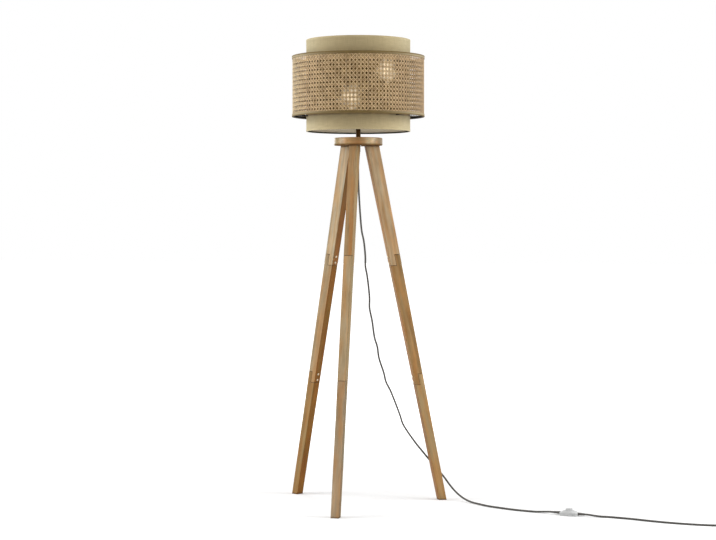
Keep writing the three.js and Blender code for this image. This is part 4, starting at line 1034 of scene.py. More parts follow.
def coil_tie():
    """A strap round the bundle of turns: a rounded rectangle of the bundle's size, as wide as the
    strap, on the side of the coil that faces the lamp."""
    low, high = span("coil_tie")
    corners = np.array([(low[0], low[2]), (high[0], low[2]), (high[0], high[2]), (low[0], high[2])])
    inwards = np.array([[1, 1], [-1, 1], [-1, -1], [1, -1]]) * TIE_THICKNESS
    outer = arc_corners(corners, [TIE_CORNER] * 4, 6)
    inner = arc_corners(corners + inwards, [TIE_CORNER - TIE_THICKNESS] * 4, 6)
    near, far = low[1] + TIE_EDGE, high[1] - TIE_EDGE
    rows = [(outer, near), (outer, far), (inner, far), (inner, near)]
    rings = np.array([np.stack([r[:, 0], np.full(len(r), y), r[:, 1]], -1) for r, y in rows])
    skins = Skins()
    skins.add(rings, loop=True, capped=False)
    return dressed("coil_tie", skins, "tie_strap", 50)


def at_plug(points):
    """Points of the plug's own frame, the cord coming in along +Z, laid along the tail of the coil."""
    _, heading, foot = coil_exit()
    x, y, z = np.moveaxis(np.asarray(points, float), -1, 0)[..., None]
    side = np.array([-heading[1], heading[0], 0.0])
    up = np.array([0, 0, 1.0])
    return foot + heading * CORD_GAP + AXIS + side * x + heading * z + up * y


def plug(sides=64):
    """The plug's body: rounded rectangles whose half width and half thickness follow a smooth curve
    along it, after a relief on the cord, a taper with rings cut round it."""
    way = np.linspace(0, 1, 40)
    places, widths, thicknesses = PLUG_SHARES.T
    halves = np.stack([
        np.interp(way, places, widths) * PLUG_HALF_WIDTH,
        np.interp(way, places, thicknesses) * PLUG_HALF_THICKNESS,
    ])
    for _ in range(2):
        halves[:, 1:-1] = (halves[:, :-2] + 2 * halves[:, 1:-1] + halves[:, 2:]) / 4
    plan = rounded_plan(np.arange(sides) / sides * TURN, *halves[..., None], PLUG_ROUNDNESS)
    along = np.broadcast_to((RELIEF_LENGTH + PLUG_LENGTH * way)[:, None, None], (len(way), sides, 1))
    skins = Skins()
    skins.add(at_plug(np.concatenate([plan, along], 2)))
    way = np.linspace(0, 1, 53)
    grooves = (np.cos(way * 2 * RELIEF_GROOVES * math.pi) < -0.2) * (way > 0.04) * (way < 0.93)
    radius = RELIEF_TIP + RELIEF_FLARE * way - RELIEF_GROOVE * grooves
    end = RELIEF_LENGTH + RELIEF_OVERLAP
    skins.add(at_plug(lathe([(0, 0), *zip(radius, way * end), (0, end)], 32, 0.0)), capped=False)
    return finished("plug_finished", skins, "black_plastic", ["plug_body"], 40)


tie_piece = coil_tie()
plug_piece = plug()


# Legs

LEG_TURNS = {"front": -90, "right": 30, "left": 150}
LEG_THICKNESS = 23.8 * MM + 2 * PROUD
# Distances of a leg's inner and outer face from the axis, each at the floor and under the head
LEG_INNER = (274.2 * MM, 24.8 * MM)
LEG_OUTER = (297.9 * MM, 66.1 * MM)
LAP_GAP = 0.15 * MM
LONG_EDGE = 60 * MM
ARRIS = 1.6 * MM
CUT_ARRIS_SHARE = 0.55  # of the long arrises
GRAIN_SHIFT = 3.0  # metres, so that no two boards have the same grain
# The painted light and shade on each face of each board, as a factor on the wood's own colour, which also
# carries the boards' differing tones: its outer, inner and two side faces
LEG_FACE_LIGHT = {
    ("front", "upper"): [(0.87, 0.79, 0.69), (0.6, 0.45, 0.3), (0.63, 0.65, 0.58), (0.63, 0.65, 0.58)],
    ("front", "middle"): [(1.05, 1.20, 1.38), (0.6, 0.45, 0.3), (0.55, 0.60, 0.51), (0.55, 0.60, 0.51)],
    ("front", "lower"): [(0.91, 1.03, 1.26), (0.6, 0.45, 0.3), (0.42, 0.46, 0.43), (0.42, 0.46, 0.43)],
    ("left", "upper"): [(0.9, 0.85, 0.8), (0.55, 0.39, 0.19), (0.9, 0.85, 0.8), (0.97, 1.12, 1.35)],
    ("left", "middle"): [(0.85, 0.8, 0.7), (0.44, 0.31, 0.09), (0.85, 0.8, 0.7), (0.82, 0.88, 0.92)],
    ("left", "lower"): [(0.75, 0.6, 0.4), (0.51, 0.34, 0.09), (0.7, 0.6, 0.5), (0.67, 0.64, 0.48)],
    ("right", "upper"): [(1.1, 1.1, 1.05), (0.75, 0.65, 0.5), (1.05, 1.10, 1.20), (1.1, 1.1, 1.05)],
    ("right", "middle"): [(0.85, 0.75, 0.6), (0.65, 0.55, 0.4), (0.75, 0.68, 0.52), (0.85, 0.75, 0.6)],
    ("right", "lower"): [(0.9, 0.85, 0.7), (0.65, 0.55, 0.4), (0.86, 0.91, 0.85), (0.9, 0.85, 0.7)],
}


def leg_inner(height):
    """The inner face's distance from the axis: it falls evenly from the floor to the head."""
    return LEG_INNER[0] + (LEG_INNER[1] - LEG_INNER[0]) * height / HEAD_LOW - PROUD


def leg_outer(height):
    """The outer face's distance from the axis: it falls evenly from the floor to the head."""
    return LEG_OUTER[0] + (LEG_OUTER[1] - LEG_OUTER[0]) * height / HEAD_LOW + PROUD


def leg_middle(height):
    """The middle line's distance from the axis."""
    return (leg_inner(height) + leg_outer(height)) / 2


def section_outline(below, above):
    """The side outline of a leg section, as corners (distance, height) between its two half laps: the
    lower one keeps its outer half and the upper one its inner half, with level ends. A section without
    a lap ends level, on the floor or under the head."""
    points = []
    if below:
        low, high = below - LAP_REACH + LAP_GAP, below + LAP_REACH + LAP_GAP
        points += [(leg_inner(low), low), (leg_middle(low) - LAP_GAP, low)]
        points += [(leg_middle(high) - LAP_GAP, high), (leg_outer(high), high)]
    else:
        points += [(leg_inner(0), 0), (leg_outer(0), 0)]
    if above:
        low, high = above - LAP_REACH - LAP_GAP, above + LAP_REACH - LAP_GAP
        points += [(leg_outer(high), high), (leg_middle(high) + LAP_GAP, high)]
        points += [(leg_middle(low) + LAP_GAP, low), (leg_inner(low), low)]
    else:
        top = HEAD_LOW - 2 * LAP_GAP
        points += [(leg_outer(top), top), (leg_inner(top), top)]
    return np.array(points)


LOW_LAP, HIGH_LAP = (share * HEAD_LOW for share in LAP_SHARES)
LEG_OUTLINES = {
    "upper": section_outline(HIGH_LAP, None),
    "middle": section_outline(LOW_LAP, HIGH_LAP),
    "lower": section_outline(None, LOW_LAP),
}


def leg_directions(side):
    """Outwards from the axis along a leg's middle plane, and square to that plane."""
    turn = math.radians(LEG_TURNS[side])
    return (np.array([math.cos(turn), math.sin(turn), 0.0]),
            np.array([-math.sin(turn), math.cos(turn), 0.0]))


def face_light(side, part, outline):
    """A tint of painted light and shade for each face of a section: the faces run as the two sides and
    then the outline's edges. A long edge takes the tint of the leg's outer or inner face, and a cut a
    darker one."""
    outer, inner, first, second = np.array(LEG_FACE_LIGHT[side, part])
    tints = [first, second]
    for a, b in zip(outline, np.roll(outline, -1, axis=0)):
        centre = (a + b) / 2
        if abs(b[1] - a[1]) <= LONG_EDGE:
            tints.append(0.8 * outer)
        elif centre[0] > leg_middle(centre[1]):
            tints.append(outer)
        else:
            tints.append(inner)
    return tints


def set_attribute(mesh, name, values):
    """A vector for each point of a mesh."""
    made = mesh.attributes.new(name, "FLOAT_VECTOR", "POINT")
    made.data.foreach_set("vector", values.astype(np.float32).ravel())


def set_light_tints(mesh, tints):
    """A tint of painted light and shade for each corner of a mesh's faces."""
    shades = np.concatenate([tints, np.ones((len(tints), 1))], 1)
    made = mesh.color_attributes.new("tint", "FLOAT_COLOR", "CORNER")
    made.data.foreach_set("color", shades.astype(np.float32).ravel())


def leg_section(side, part):
    """One section: its outline on both sides of the leg's middle plane, with rounded long arrises and
    slightly eased cuts. The grain attribute runs along the leg, and the place attribute holds the
    height and the distance out from the leg's middle line."""
    outline = LEG_OUTLINES[part]
    out, across = leg_directions(side)
    up = np.array([0, 0, 1.0])
    flat = AXIS + out * outline[:, :1] + up * outline[:, 1:]
    half = across * LEG_THICKNESS / 2
    points = np.concatenate([flat - half, flat + half])
    n = len(flat)
    faces = [list(range(n)), list(range(2 * n - 1, n - 1, -1))]
    faces += [[(k + 1) % n, k, k + n, (k + 1) % n + n] for k in range(n)]
    mesh = bpy.data.meshes.new(f"leg_{side}_{part}_finished")
    mesh.from_pydata(points.tolist(), [], faces)
    mesh.update(calc_edges=True)
    work = bmesh.new()
    work.from_mesh(mesh)
    if work.calc_volume(signed=True) < 0:
        bmesh.ops.reverse_faces(work, faces=work.faces)
    eased = [1.0 if edge.calc_length() > LONG_EDGE else CUT_ARRIS_SHARE for edge in work.edges]
    work.to_mesh(mesh)
    work.free()
    mesh.attributes.new("bevel_weight_edge", "FLOAT", "EDGE").data.foreach_set("value", eased)
    slope = (outline[0] + outline[1]) / 2 - (outline[-1] + outline[-2]) / 2
    down = out * slope[0] + up * slope[1]
    down /= np.linalg.norm(down)
    grain = points @ np.stack([down, np.cross(down, across), across], 1)
    set_attribute(mesh, "grain", grain + rng.uniform(-GRAIN_SHIFT, GRAIN_SHIFT, 3))
    off_middle = outline[:, 0] - leg_middle(outline[:, 1])
    place = np.stack([outline[:, 1], off_middle, np.zeros(n)], 1)
    set_attribute(mesh, "place", np.concatenate([place, place]))
    set_light_tints(mesh, np.repeat(face_light(side, part, outline), [len(f) for f in faces], axis=0))
    mesh.shade_smooth()
    made = dressed(f"leg_{side}_{part}", mesh, "pale_wood" if part == "upper" else "warm_wood")
    bevel = made.modifiers.new("arris", "BEVEL")
    bevel.width = ARRIS
    bevel.segments = 3
    bevel.limit_method = "WEIGHT"
    bevel.harden_normals = True
    return made


for side_name in LEG_TURNS:
    for part_name in LEG_OUTLINES:
        leg_section(side_name, part_name)


# Lap screws: radius and height, over the seat, of a domed head with a round socket, and of the shank
LAP_SCREW_PROFILE = np.array([
    [0, 1.2], [1.25, 1.2], [1.3, 1.2], [1.35, 2.2], [1.6, 2.25], [2.4, 2.05], [3.2, 1.5],
    [3.75, 0.75], [3.9, 0.2], [3.9, 0], [1.7, 0], [1.7, -10], [0, -12],
]) * MM
LAP_SCREW_LIFT = 0.3 * MM


def lap_screw(side, joint, letter):
    """A screw on the inner face of a leg, square to the face and at the height of its CAD node."""
    node = f"lap_screw_{side}_{joint}_{letter}"
    tilt = math.atan2(leg_middle(0) - leg_middle(HEAD_LOW), HEAD_LOW)
    out, aside = leg_directions(side)
    inwards = -out * math.cos(tilt) - np.array([0, 0, math.sin(tilt)])
    up = np.cross(inwards, aside)
    centre = middle_of(node) - AXIS
    depth = (math.hypot(centre[0], centre[1]) - leg_inner(centre[2])) / math.cos(tilt)
    seat = centre + inwards * (depth + LAP_SCREW_LIFT) + AXIS

    def set_in(points):
        x, y, z = np.moveaxis(points, -1, 0)[..., None]
        return seat + aside * x + up * y + inwards * z

    return turned(node, LAP_SCREW_PROFILE, "brass", 32, set_in)


for side_name in LEG_TURNS:
    for joint_name in ("low", "high"):
        for letter_name in ("a", "b"):
            lap_screw(side_name, joint_name, letter_name)


# Head

HEAD_ARRIS = 2.2 * MM
HEAD_GRAIN = np.array([[0.97, -0.243, 0], [0.243, 0.97, 0], [0, 0, 1.0]])  # turns it by 14 degrees
HEAD_GRAIN_PLACE = np.array([0.4, 1.7, 0.2])
STEM_BORE = 5.3 * MM
BOLT_RADIUS = 3 * MM
BOLT_HEAD_RADIUS = 6 * MM
BOLT_HEAD_HEIGHT = 3.6 * MM
BOLT_SOCKET = 2.4 * MM
BOLT_SOCKET_DEPTH = 2 * MM
BOLT_GAP = 0.3 * MM  # round the shank and under the head
BOLT_HEAD_GAP = 0.4 * MM
OVERRUN = 1 * MM  # of every cut past the faces that it opens

# The painted highlights and shade on the disc's rim, as a factor on the wood's own colour, by bearing in
# degrees from the front
HEAD_RIM_LIGHT = [
    (-180, (1, 1, 1)), (-100, (0.8, 0.8, 0.8)), (-68, (0.6, 0.88, 0.72)), (-50, (1.0, 1.17, 1.17)),
    (-35, (1.14, 1.42, 1.95)), (-20, (1.2, 1.42, 1.9)), (0, (1, 1, 1)), (15, (1.15, 1.4, 2.1)),
    (27, (1.2, 2.0, 3.9)), (38, (1.3, 1.65, 2.3)), (50, (0.8, 0.88, 0.85)), (68, (0.52, 0.68, 0.65)),
    (100, (0.8, 0.8, 0.8)), (180, (1, 1, 1)),
]


def carved(made, cutters):
    """Cuts the cutters' shapes out of a piece, for good, and removes the cutters."""
    for cutter in cutters:
        cut = made.modifiers.new("cut", "BOOLEAN")
        cut.operation = "DIFFERENCE"
        cut.solver = "EXACT"
        cut.object = cutter
    bpy.context.view_layer.update()
    shown = made.evaluated_get(bpy.context.evaluated_depsgraph_get())
    mesh = bpy.data.meshes.new_from_object(shown)
    made.modifiers.clear()
    made.data = mesh
    for cutter in cutters:
        bpy.data.objects.remove(cutter)
    return mesh


def cutter_of(profile, sides=40, centre=AXIS):
    """A turned shape to cut with."""
    skins = Skins()
    skins.add(lathe(profile, sides, centre), capped=False)
    return linked("cutter", skins.mesh("cutter"))


def standing_on_floor(node):
    """The place on the floor under the middle of a node."""
    return middle_of(node) * [1, 1, 0]


def bolt_hole(side, low, high):
    """The cutter for a head bolt's hole through the disc, stepped under the bolt's head."""
    node = f"head_bolt_{side}"
    step = heights(node)[1] - BOLT_HEAD_HEIGHT - BOLT_GAP
    narrow, wide = BOLT_RADIUS + BOLT_GAP, BOLT_HEAD_RADIUS + BOLT_HEAD_GAP
    profile = [(0, low), (narrow, low), (narrow, step), (wide, step), (wide, high), (0, high)]
    return cutter_of(profile, centre=standing_on_floor(node))


def read(items, key, size, kind=np.float32):
    """A mesh's values as an array with one row for each item."""
    values = np.empty(len(items) * size, kind)
    items.foreach_get(key, values)
    return values.reshape(-1, size)


def rim_light(mesh):
    """A tint of painted highlights and shade for each corner of the disc's faces: on upright faces it runs
    between the stops of the rim's painted light by the bearing from the front, and elsewhere it is plain."""
    points = read(mesh.vertices, "co", 3)
    corner = read(mesh.loops, "vertex_index", 1, np.int32)[:, 0]
    sizes = read(mesh.polygons, "loop_total", 1, np.int32)[:, 0]
    upright = np.repeat(np.abs(read(mesh.polygons, "normal", 3)[:, 2]) < 0.6, sizes)
    place = (points - AXIS)[corner]
    bearing = np.degrees(np.arctan2(place[:, 1], place[:, 0]) - CANE_FRONT)
    bearing = (bearing + 180) % 360 - 180
    stops = [stop for stop, _ in HEAD_RIM_LIGHT]
    shades = [np.interp(bearing, stops, [tint[k] for _, tint in HEAD_RIM_LIGHT]) for k in range(3)]
    return np.where(upright[:, None], np.stack(shades, 1), 1.0)


def head_disc():
    """The turned disc: a rounded rectangle turned round the axis, with stepped holes for the bolts."""
    radius = radius_of("head_disc") + PROUD
    corners = [(0, HEAD_LOW), (radius, HEAD_LOW), (radius, HEAD_TOP), (0, HEAD_TOP)]
    skins = Skins()
    skins.add(lathe(arc_corners(corners, [0, HEAD_ARRIS, HEAD_ARRIS, 0], 5), 160), capped=False)
    made = dressed("head_disc", skins, "head_wood", 50)
    low, high = HEAD_LOW - OVERRUN, HEAD_TOP + OVERRUN
    cutters = [bolt_hole(side, low, high) for side in LEG_TURNS]
    cutters.append(cutter_of([(0, low), (STEM_BORE, low), (STEM_BORE, high), (0, high)]))
    mesh = carved(made, cutters)
    set_light_tints(mesh, rim_light(mesh))
    set_attribute(mesh, "grain", read(mesh.vertices, "co", 3) @ HEAD_GRAIN + HEAD_GRAIN_PLACE)
    return made


def head_bolt(side):
    """A socket-head bolt: a rounded head with a round socket."""
    node = f"head_bolt_{side}"
    low, top = heights(node)
    bottom = top - BOLT_SOCKET_DEPTH
    under = top - BOLT_HEAD_HEIGHT
    profile = [
        (0, bottom), (BOLT_SOCKET, bottom), (BOLT_SOCKET, top - 0.2 * MM), (BOLT_SOCKET + 0.2 * MM, top),
        (BOLT_HEAD_RADIUS - 0.6 * MM, top), (BOLT_HEAD_RADIUS - 0.15 * MM, top - 0.25 * MM),
        (BOLT_HEAD_RADIUS, top - 0.7 * MM), (BOLT_HEAD_RADIUS, under), (BOLT_RADIUS, under),
        (BOLT_RADIUS, low), (0, low),
    ]
    return turned(node, profile, "steel", 36, lambda points: points + standing_on_floor(node))


head_disc()
for side_name in LEG_TURNS:
    head_bolt(side_name)


# Stem and lampholder

WASHER_RADIUS = 11 * MM
NUT_BORE = 5.2 * MM
GRIP_TAPER = 26 * MM
GRIP_TIP = 4.2 * MM
GRIP_FLARE = 2.2 * MM
GRIP_MOUTH = 3.2 * MM
GRIP_GROOVE = 0.5 * MM
GRIP_GROOVES = 4
GRIP_CAP = 7 * MM
GRIP_CAP_EASE = (0.4 * MM, 0.6 * MM, 0.5 * MM)  # inwards, upwards and downwards
GRIP_SOCKET_DEPTH = 9.3 * MM
HOLDER_WALL = 2 * MM
HOLDER_NECK = 8.5 * MM
HOLDER_NECK_HEIGHT = 7 * MM
SKIRT_MOUTH = 17.6 * MM
SKIRT_THROAT = 13.6 * MM
SKIRT_THROAT_HEIGHT = 10.3 * MM
SKIRT_FLANGE = 24 * MM
SKIRT_FLANGE_HEIGHT = 7.4 * MM
SKIRT_FLANGE_THICKNESS = 2.4 * MM
FITTER_BORE = 19.9 * MM
CLAMP_LOBES = 12


def ring_profile(inner, outer, low, high, ease):
    """The closed section of a ring with its four corners eased."""
    return arc_corners([(inner, low), (outer, low), (outer, high), (inner, high)], [ease] * 4, 3)


def stem_sleeve():
    """The dark tube between the head and the lampholder."""
    profile = ring_profile(STEM_BORE, radius_of("stem_sleeve") + PROUD, *heights("stem_sleeve"), 0.6 * MM)
    return turned("stem_sleeve", profile, "bronze", 64)


def stem_washer():
    """The washer under the head."""
    profile = ring_profile(STEM_BORE, WASHER_RADIUS, *heights("stem_washer"), 0.3 * MM)
    return turned("stem_washer", profile, "steel", 64)


def hexagon(angle):
    """The distance of a hexagon's edge from its middle, as a share of its corners' distance."""
    return math.cos(math.pi / 6) / np.cos((angle + math.pi / 6) % (math.pi / 3) - math.pi / 6)


def knurl(angle):
    """Rounded lobes: one less a small share of a flattened sine."""
    wave = np.sin(angle * CLAMP_LOBES)
    return 1 - 0.022 * (1 + np.sign(wave) * np.abs(wave) ** 0.4)


def cord_grip():
    """The grip: a cap and a taper with rounded ribs, the radius dipping at each groove."""
    low, high = heights("cord_grip")
    way = np.linspace(0, 1, 81)
    groove = GRIP_GROOVE * smooth((-np.cos(way * 2 * GRIP_GROOVES * math.pi) - 0.1) / 0.4)
    radius = GRIP_TIP + GRIP_FLARE * way - groove * (way > 0.03) * (way < 0.97)
    shoulder = low + GRIP_TAPER
    seat = high - GRIP_SOCKET_DEPTH
    inwards, upwards, downwards = GRIP_CAP_EASE
    profile = [
        (0, low), (GRIP_MOUTH, low), *zip(radius, low + GRIP_TAPER * way),
        (GRIP_CAP - inwards, shoulder), (GRIP_CAP, shoulder + upwards), (GRIP_CAP, high - downwards),
        (GRIP_CAP - inwards, high), (STEM_BORE, high), (STEM_BORE, seat), (0, seat),
    ]
    return turned("cord_grip", profile, "black_plastic")


def holder_cap():
    """The lampholder's cap: a neck on the stem, a cone and a short wall, with eased edges."""
    low, top = heights("holder_cap")
    radius = radius_of("holder_cap")
    neck = low + HOLDER_NECK_HEIGHT
    shoulder = (neck + top) / 2
    inside = radius - HOLDER_WALL
    outline = [
        (STEM_BORE, low), (HOLDER_NECK, low), (HOLDER_NECK, neck), (inside, neck + HOLDER_WALL),
        (radius, shoulder), (radius, top), (inside, top), (inside, shoulder),
        (HOLDER_NECK, neck + 2 * HOLDER_WALL), (STEM_BORE, neck + HOLDER_WALL),
    ]
    ease = np.array([0, 0.6, 1, 3, 3, 0.4, 0, 0, 0, 0]) * MM
    return turned("holder_cap", arc_corners(outline, ease, 4), "black_plastic", 72)


def holder_skirt():
    """The lampholder's skirt: a wall as wide as the cap, with a flange round it and a narrower throat."""
    low, top = heights("holder_skirt")
    radius = radius_of("holder_cap")
    flange = low + SKIRT_FLANGE_HEIGHT
    under = flange - SKIRT_FLANGE_THICKNESS
    throat = low + SKIRT_THROAT_HEIGHT
    outline = [
        (SKIRT_MOUTH, low), (radius, low), (radius, under), (SKIRT_FLANGE, under), (SKIRT_FLANGE, flange),
        (radius, flange), (radius, top - 1 * MM), (radius - 1 * MM, top), (SKIRT_THROAT, top),
        (SKIRT_THROAT, throat), (SKIRT_MOUTH, throat),
    ]
    ease = np.array([0, 0.3, 0.4, 0.5, 0.5, 0.2, 0.5, 0.4, 0.5, 0, 0]) * MM
    return turned("holder_skirt", arc_corners(outline, ease, 3), "black_plastic", 72)


stem_sleeve()
stem_washer()
lobed_ring("stem_nut", NUT_BORE, 0.7 * MM, 0.93, "steel", 96, hexagon, 25)
cord_grip()
holder_cap()
holder_skirt()
lobed_ring("clamp_ring", FITTER_BORE, 0.6 * MM, 0.97, "black_plastic", 144, knurl, 30)


# Shade frame and wire rings

WIRE = 2 * MM  # radius
FITTER_RADIUS = 28 * MM
FITTER_THICKNESS = 2 * MM
FITTER_GAP = 0.3 * MM
SPOKE_START = 26 * MM
SPOKES = 3


def shade_frame():
    """The fitter ring, three spokes and the cane drum's lower ring, as smooth tubes."""
    ring_radius = radius_of("shade_frame") - WIRE
    ring_height = heights("shade_frame")[1] - WIRE
    fitter_top = heights("clamp_ring")[0] - FITTER_GAP
    fitter_low = fitter_top - FITTER_THICKNESS
    skins = Skins()
    skins.add(torus(ring_radius, ring_height, WIRE), loop=True)
    skins.add(lathe(ring_profile(FITTER_BORE, FITTER_RADIUS, fitter_low, fitter_top, 0.4 * MM), 96),
              loop=True)
    for turn in math.pi / 2 + np.arange(SPOKES) * TURN / SPOKES:
        out = np.array([math.cos(turn), math.sin(turn), 0])
        start, end = out * SPOKE_START, out * ring_radius
        start[2], end[2] = fitter_low + FITTER_THICKNESS / 2, ring_height
        way = np.linspace(0, 1, 12)[:, None]
        skins.add(*tube(start + (end - start) * way + AXIS, WIRE, 12))
    return dressed("shade_frame", skins, "black_wire", 50)


def wire_ring(node):
    """A round wire ring in place of its CAD node."""
    skins = Skins()
    skins.add(torus(radius_of(node) - WIRE, middle_of(node)[2], WIRE), loop=True)
    return dressed(node, skins, "black_wire", 50)


shade_frame()
for ring_node in ("inner_ring_top", "inner_ring_bottom", "cane_ring_top"):
    wire_ring(ring_node)


# Inner drum

CLOTH_THICKNESS = 0.7 * MM
LINING_THICKNESS = 0.8 * MM
HEM = 0.35 * MM  # how far the hems and the seam stand out
HEM_HEIGHT = 7 * MM
HEM_STEP = 0.6 * MM
RIM_PINCH = 0.3 * MM  # inwards, over the last bit of height
RIM_PINCH_HEIGHT = 0.35 * MM
SEAM_SHARE = 0.27  # of a turn, to the seam's middle
SEAM_HALF_ANGLE = 0.05
SEAM_STEP_ANGLE = 0.004


def round_uv(radius, along, sides):
    """A UV map in metres of a drum's wall: u round it, v as given for each ring."""
    around = np.linspace(0, TURN * radius, sides + 1)
    return np.stack(np.meshgrid(around, along), -1)


def drum_wall(name, node, finish, thickness, proud, hem, sides=180):
    """A thin wall turned round the axis, standing proud of its CAD node. hem thickens a strip along
    both rims, and the cloth laps over itself along one upright seam at the back, both by smooth steps."""
    low, high = heights(node)
    outer = radius_of(node) + proud
    inner = outer - thickness
    strip = [0.3 * MM, *np.linspace(1.5 * MM, HEM_HEIGHT, 4), HEM_HEIGHT + HEM_STEP]
    height = np.array([
        low, *(low + np.array(strip)), *np.linspace(low + 30 * MM, high - 30 * MM, 12),
        *(high - np.array(strip[::-1])), high,
    ])
    edge = np.minimum(height - low, high - height)
    swell = hem * (1 - smooth((edge - HEM_HEIGHT) / HEM_STEP))
    pinch = RIM_PINCH * (1 - smooth(edge / RIM_PINCH_HEIGHT))
    angle = np.arange(sides) / sides * TURN
    seam = hem * smooth((SEAM_HALF_ANGLE - np.abs(angle - TURN * SEAM_SHARE)) / SEAM_STEP_ANGLE)
    radius = outer + (swell - pinch)[:, None] + seam
    wall = np.stack([
        radius * np.cos(angle), radius * np.sin(angle), np.broadcast_to(height[:, None], radius.shape),
    ], -1)
    inner_heights = [high, (low + high) / 2, low]
    inside = lathe([(inner, z) for z in inner_heights], sides, 0.0)
    along = np.append(height, inner_heights)
    skins = Skins()
    skins.add(np.concatenate([wall, inside]) + AXIS, round_uv(outer, along, sides), loop=True,
              capped=False)
    return finished(name, skins, finish, [node], 50)


drum_wall("inner_drum_cloth", "inner_drum_cover", "sage_fabric", CLOTH_THICKNESS, PROUD, HEM)
drum_wall("inner_drum_lining", "inner_drum_liner", "white_lining", LINING_THICKNESS, 0, 0)


# Cane drum: a six-way weave of flat strands on the drum's wall

CANE_COLUMNS = 115
CANE_ROWS = 13
STRAND_WIDTH = 2.2 * MM
STRAND_THICKNESS = 0.8 * MM
UPRIGHT_THICKNESS = 1.4 * MM
DIAGONAL_WIDTH = 1.05 * STRAND_WIDTH
PAIR_OFFSET = 1.35 * MM  # of a strand from the middle of its pair
UPRIGHT_LIFT = 0.5 * MM  # outwards or inwards, for the two strands of a pair
LEVEL_WAVE = 0.06 * MM
DIAGONAL_LIFT = 0.2 * MM
DIAGONAL_WAVE = 0.75 * MM
DIAGONAL_OVERRUN = 0.6  # rows under each trim
WANDER = 0.35 * MM
DIAGONAL_WANDER = 0.3 * MM
WALL_INSET = 1.1 * MM
TRIM_LAP = 1 * MM  # from the drum's edges to the ends of the uprights
TRIM_THICKNESS = 0.8 * MM
TRIM_INSET = 0.25 * MM
TRIM_BEAD = 0.3 * MM
TRIM_ROUNDING = 0.45 * MM
TRIM_EDGE = 0.2 * MM
CANE_DIP = 6.0 * MM
CANE_SPREAD = 2.7 * MM
CANE_FILL_SHARE = 0.45  # how much fuller the strands are at the back
# A strand's section, flat behind and crowned in front: shares of its half width and half thickness
STRAND_ACROSS_SHARES = np.array([-1, -0.62, 0.0, 0.62, 1])
STRAND_OUT_SHARES = np.array([-0.6, 0.45, 1.0, 0.45, -0.6])


def on_drum(angle, height, out, radius):
    """A point of the drum's wall at an angle and a height, lifted out from it. Behind the drum's two
    sides the webbing dips a little, more towards its lower edge, and dips less at the back and not at
    all under the trims."""
    reach = radius + out
    behind = -np.cos(angle - CANE_FRONT)
    share = np.clip((height - CANE_LOW) / (CANE_TOP - CANE_LOW), 0, 1)
    dip = CANE_DIP + CANE_SPREAD * (1 - 2 * share)
    dip *= smooth(behind / 0.27) * (1 - 0.75 * smooth((behind - 0.35) / 0.3))
    height = height - dip * (1 - np.abs(2 * share - 1) ** 8)
    return np.stack([reach * np.cos(angle), reach * np.sin(angle), height], -1) + AXIS


def strands(name, angle, height, lift, width=STRAND_WIDTH, thickness=STRAND_THICKNESS, finish="cane"):
    """Flat strands along lines on the drum's wall: angle, height and lift are arrays [strand, step].
    Each section lies square to its line on the unrolled wall."""
    radius = radius_of("cane_web") - WALL_INSET + PROUD
    run = np.stack([angle * radius, height], -1)
    step = np.gradient(run, axis=1)
    step /= np.linalg.norm(step, axis=2)[..., None]
    normal = np.stack([-step[..., 1], step[..., 0]], -1)
    across, out = STRAND_ACROSS_SHARES * width / 2, STRAND_OUT_SHARES * thickness / 2
    fuller = 1 + CANE_FILL_SHARE * smooth(-np.cos(angle - CANE_FRONT) / 0.3)
    plan = run[:, :, None] + normal[:, :, None] * across[:, None] * fuller[:, :, None, None]
    points = on_drum(plan[..., 0] / radius, plan[..., 1], lift[:, :, None] + out, radius)
    count, steps = angle.shape
    lengths = np.linalg.norm(np.diff(run, axis=1), axis=2)
    along = np.concatenate([np.zeros((count, 1)), np.cumsum(lengths, axis=1)], 1)
    around = np.linspace(0, 1, len(across) + 1) + np.arange(count)[:, None, None] * 1.37
    shape = (count, steps, len(across) + 1)
    uv = np.stack([np.broadcast_to(along[:, :, None], shape), np.broadcast_to(around, shape)], -1)
    skins = Skins()
    skins.add(points, uv, tone=rng.uniform(0, 1, count), edge=np.abs(STRAND_ACROSS_SHARES))
    return finished(name, skins, finish, ["cane_web"], 70)


def wander(count, steps, size):
    """A slow sideways wander for each strand: three sine waves of random phase."""
    t = np.linspace(0, 1, steps)
    phase = rng.uniform(0, TURN, (count, 3, 1))
    waves = np.sin(phase + np.array([3.1, 7.7, 17.3])[:, None] * TURN * t)
    return size * (waves * np.array([0.5, 0.3, 0.2])[:, None]).sum(1)


WEB_LOW, WEB_TOP = heights("cane_web")
WEB_RADIUS = radius_of("cane_web") + PROUD
FIRST_ROW = WEB_LOW + TRIM_HEIGHT
COLUMN = TURN / CANE_COLUMNS
ROW = (WEB_TOP - TRIM_HEIGHT - FIRST_ROW) / CANE_ROWS


def uprights():
    """Pairs of upright strands, one of each pair further out than the other."""
    steps = CANE_ROWS * 4 + 5
    lines = np.repeat((np.arange(CANE_COLUMNS) + 0.5) * COLUMN, 2)[:, None]
    side = np.tile([-1.0, 1.0], CANE_COLUMNS)[:, None]
    angle = lines + (side * PAIR_OFFSET + wander(len(lines), steps, WANDER)) / WEB_RADIUS
    height = np.broadcast_to(np.linspace(WEB_LOW + TRIM_LAP, WEB_TOP - TRIM_LAP, steps), angle.shape)
    lift = np.broadcast_to(side * UPRIGHT_LIFT, angle.shape)
    return strands("cane_uprights", angle, height, lift, thickness=UPRIGHT_THICKNESS)


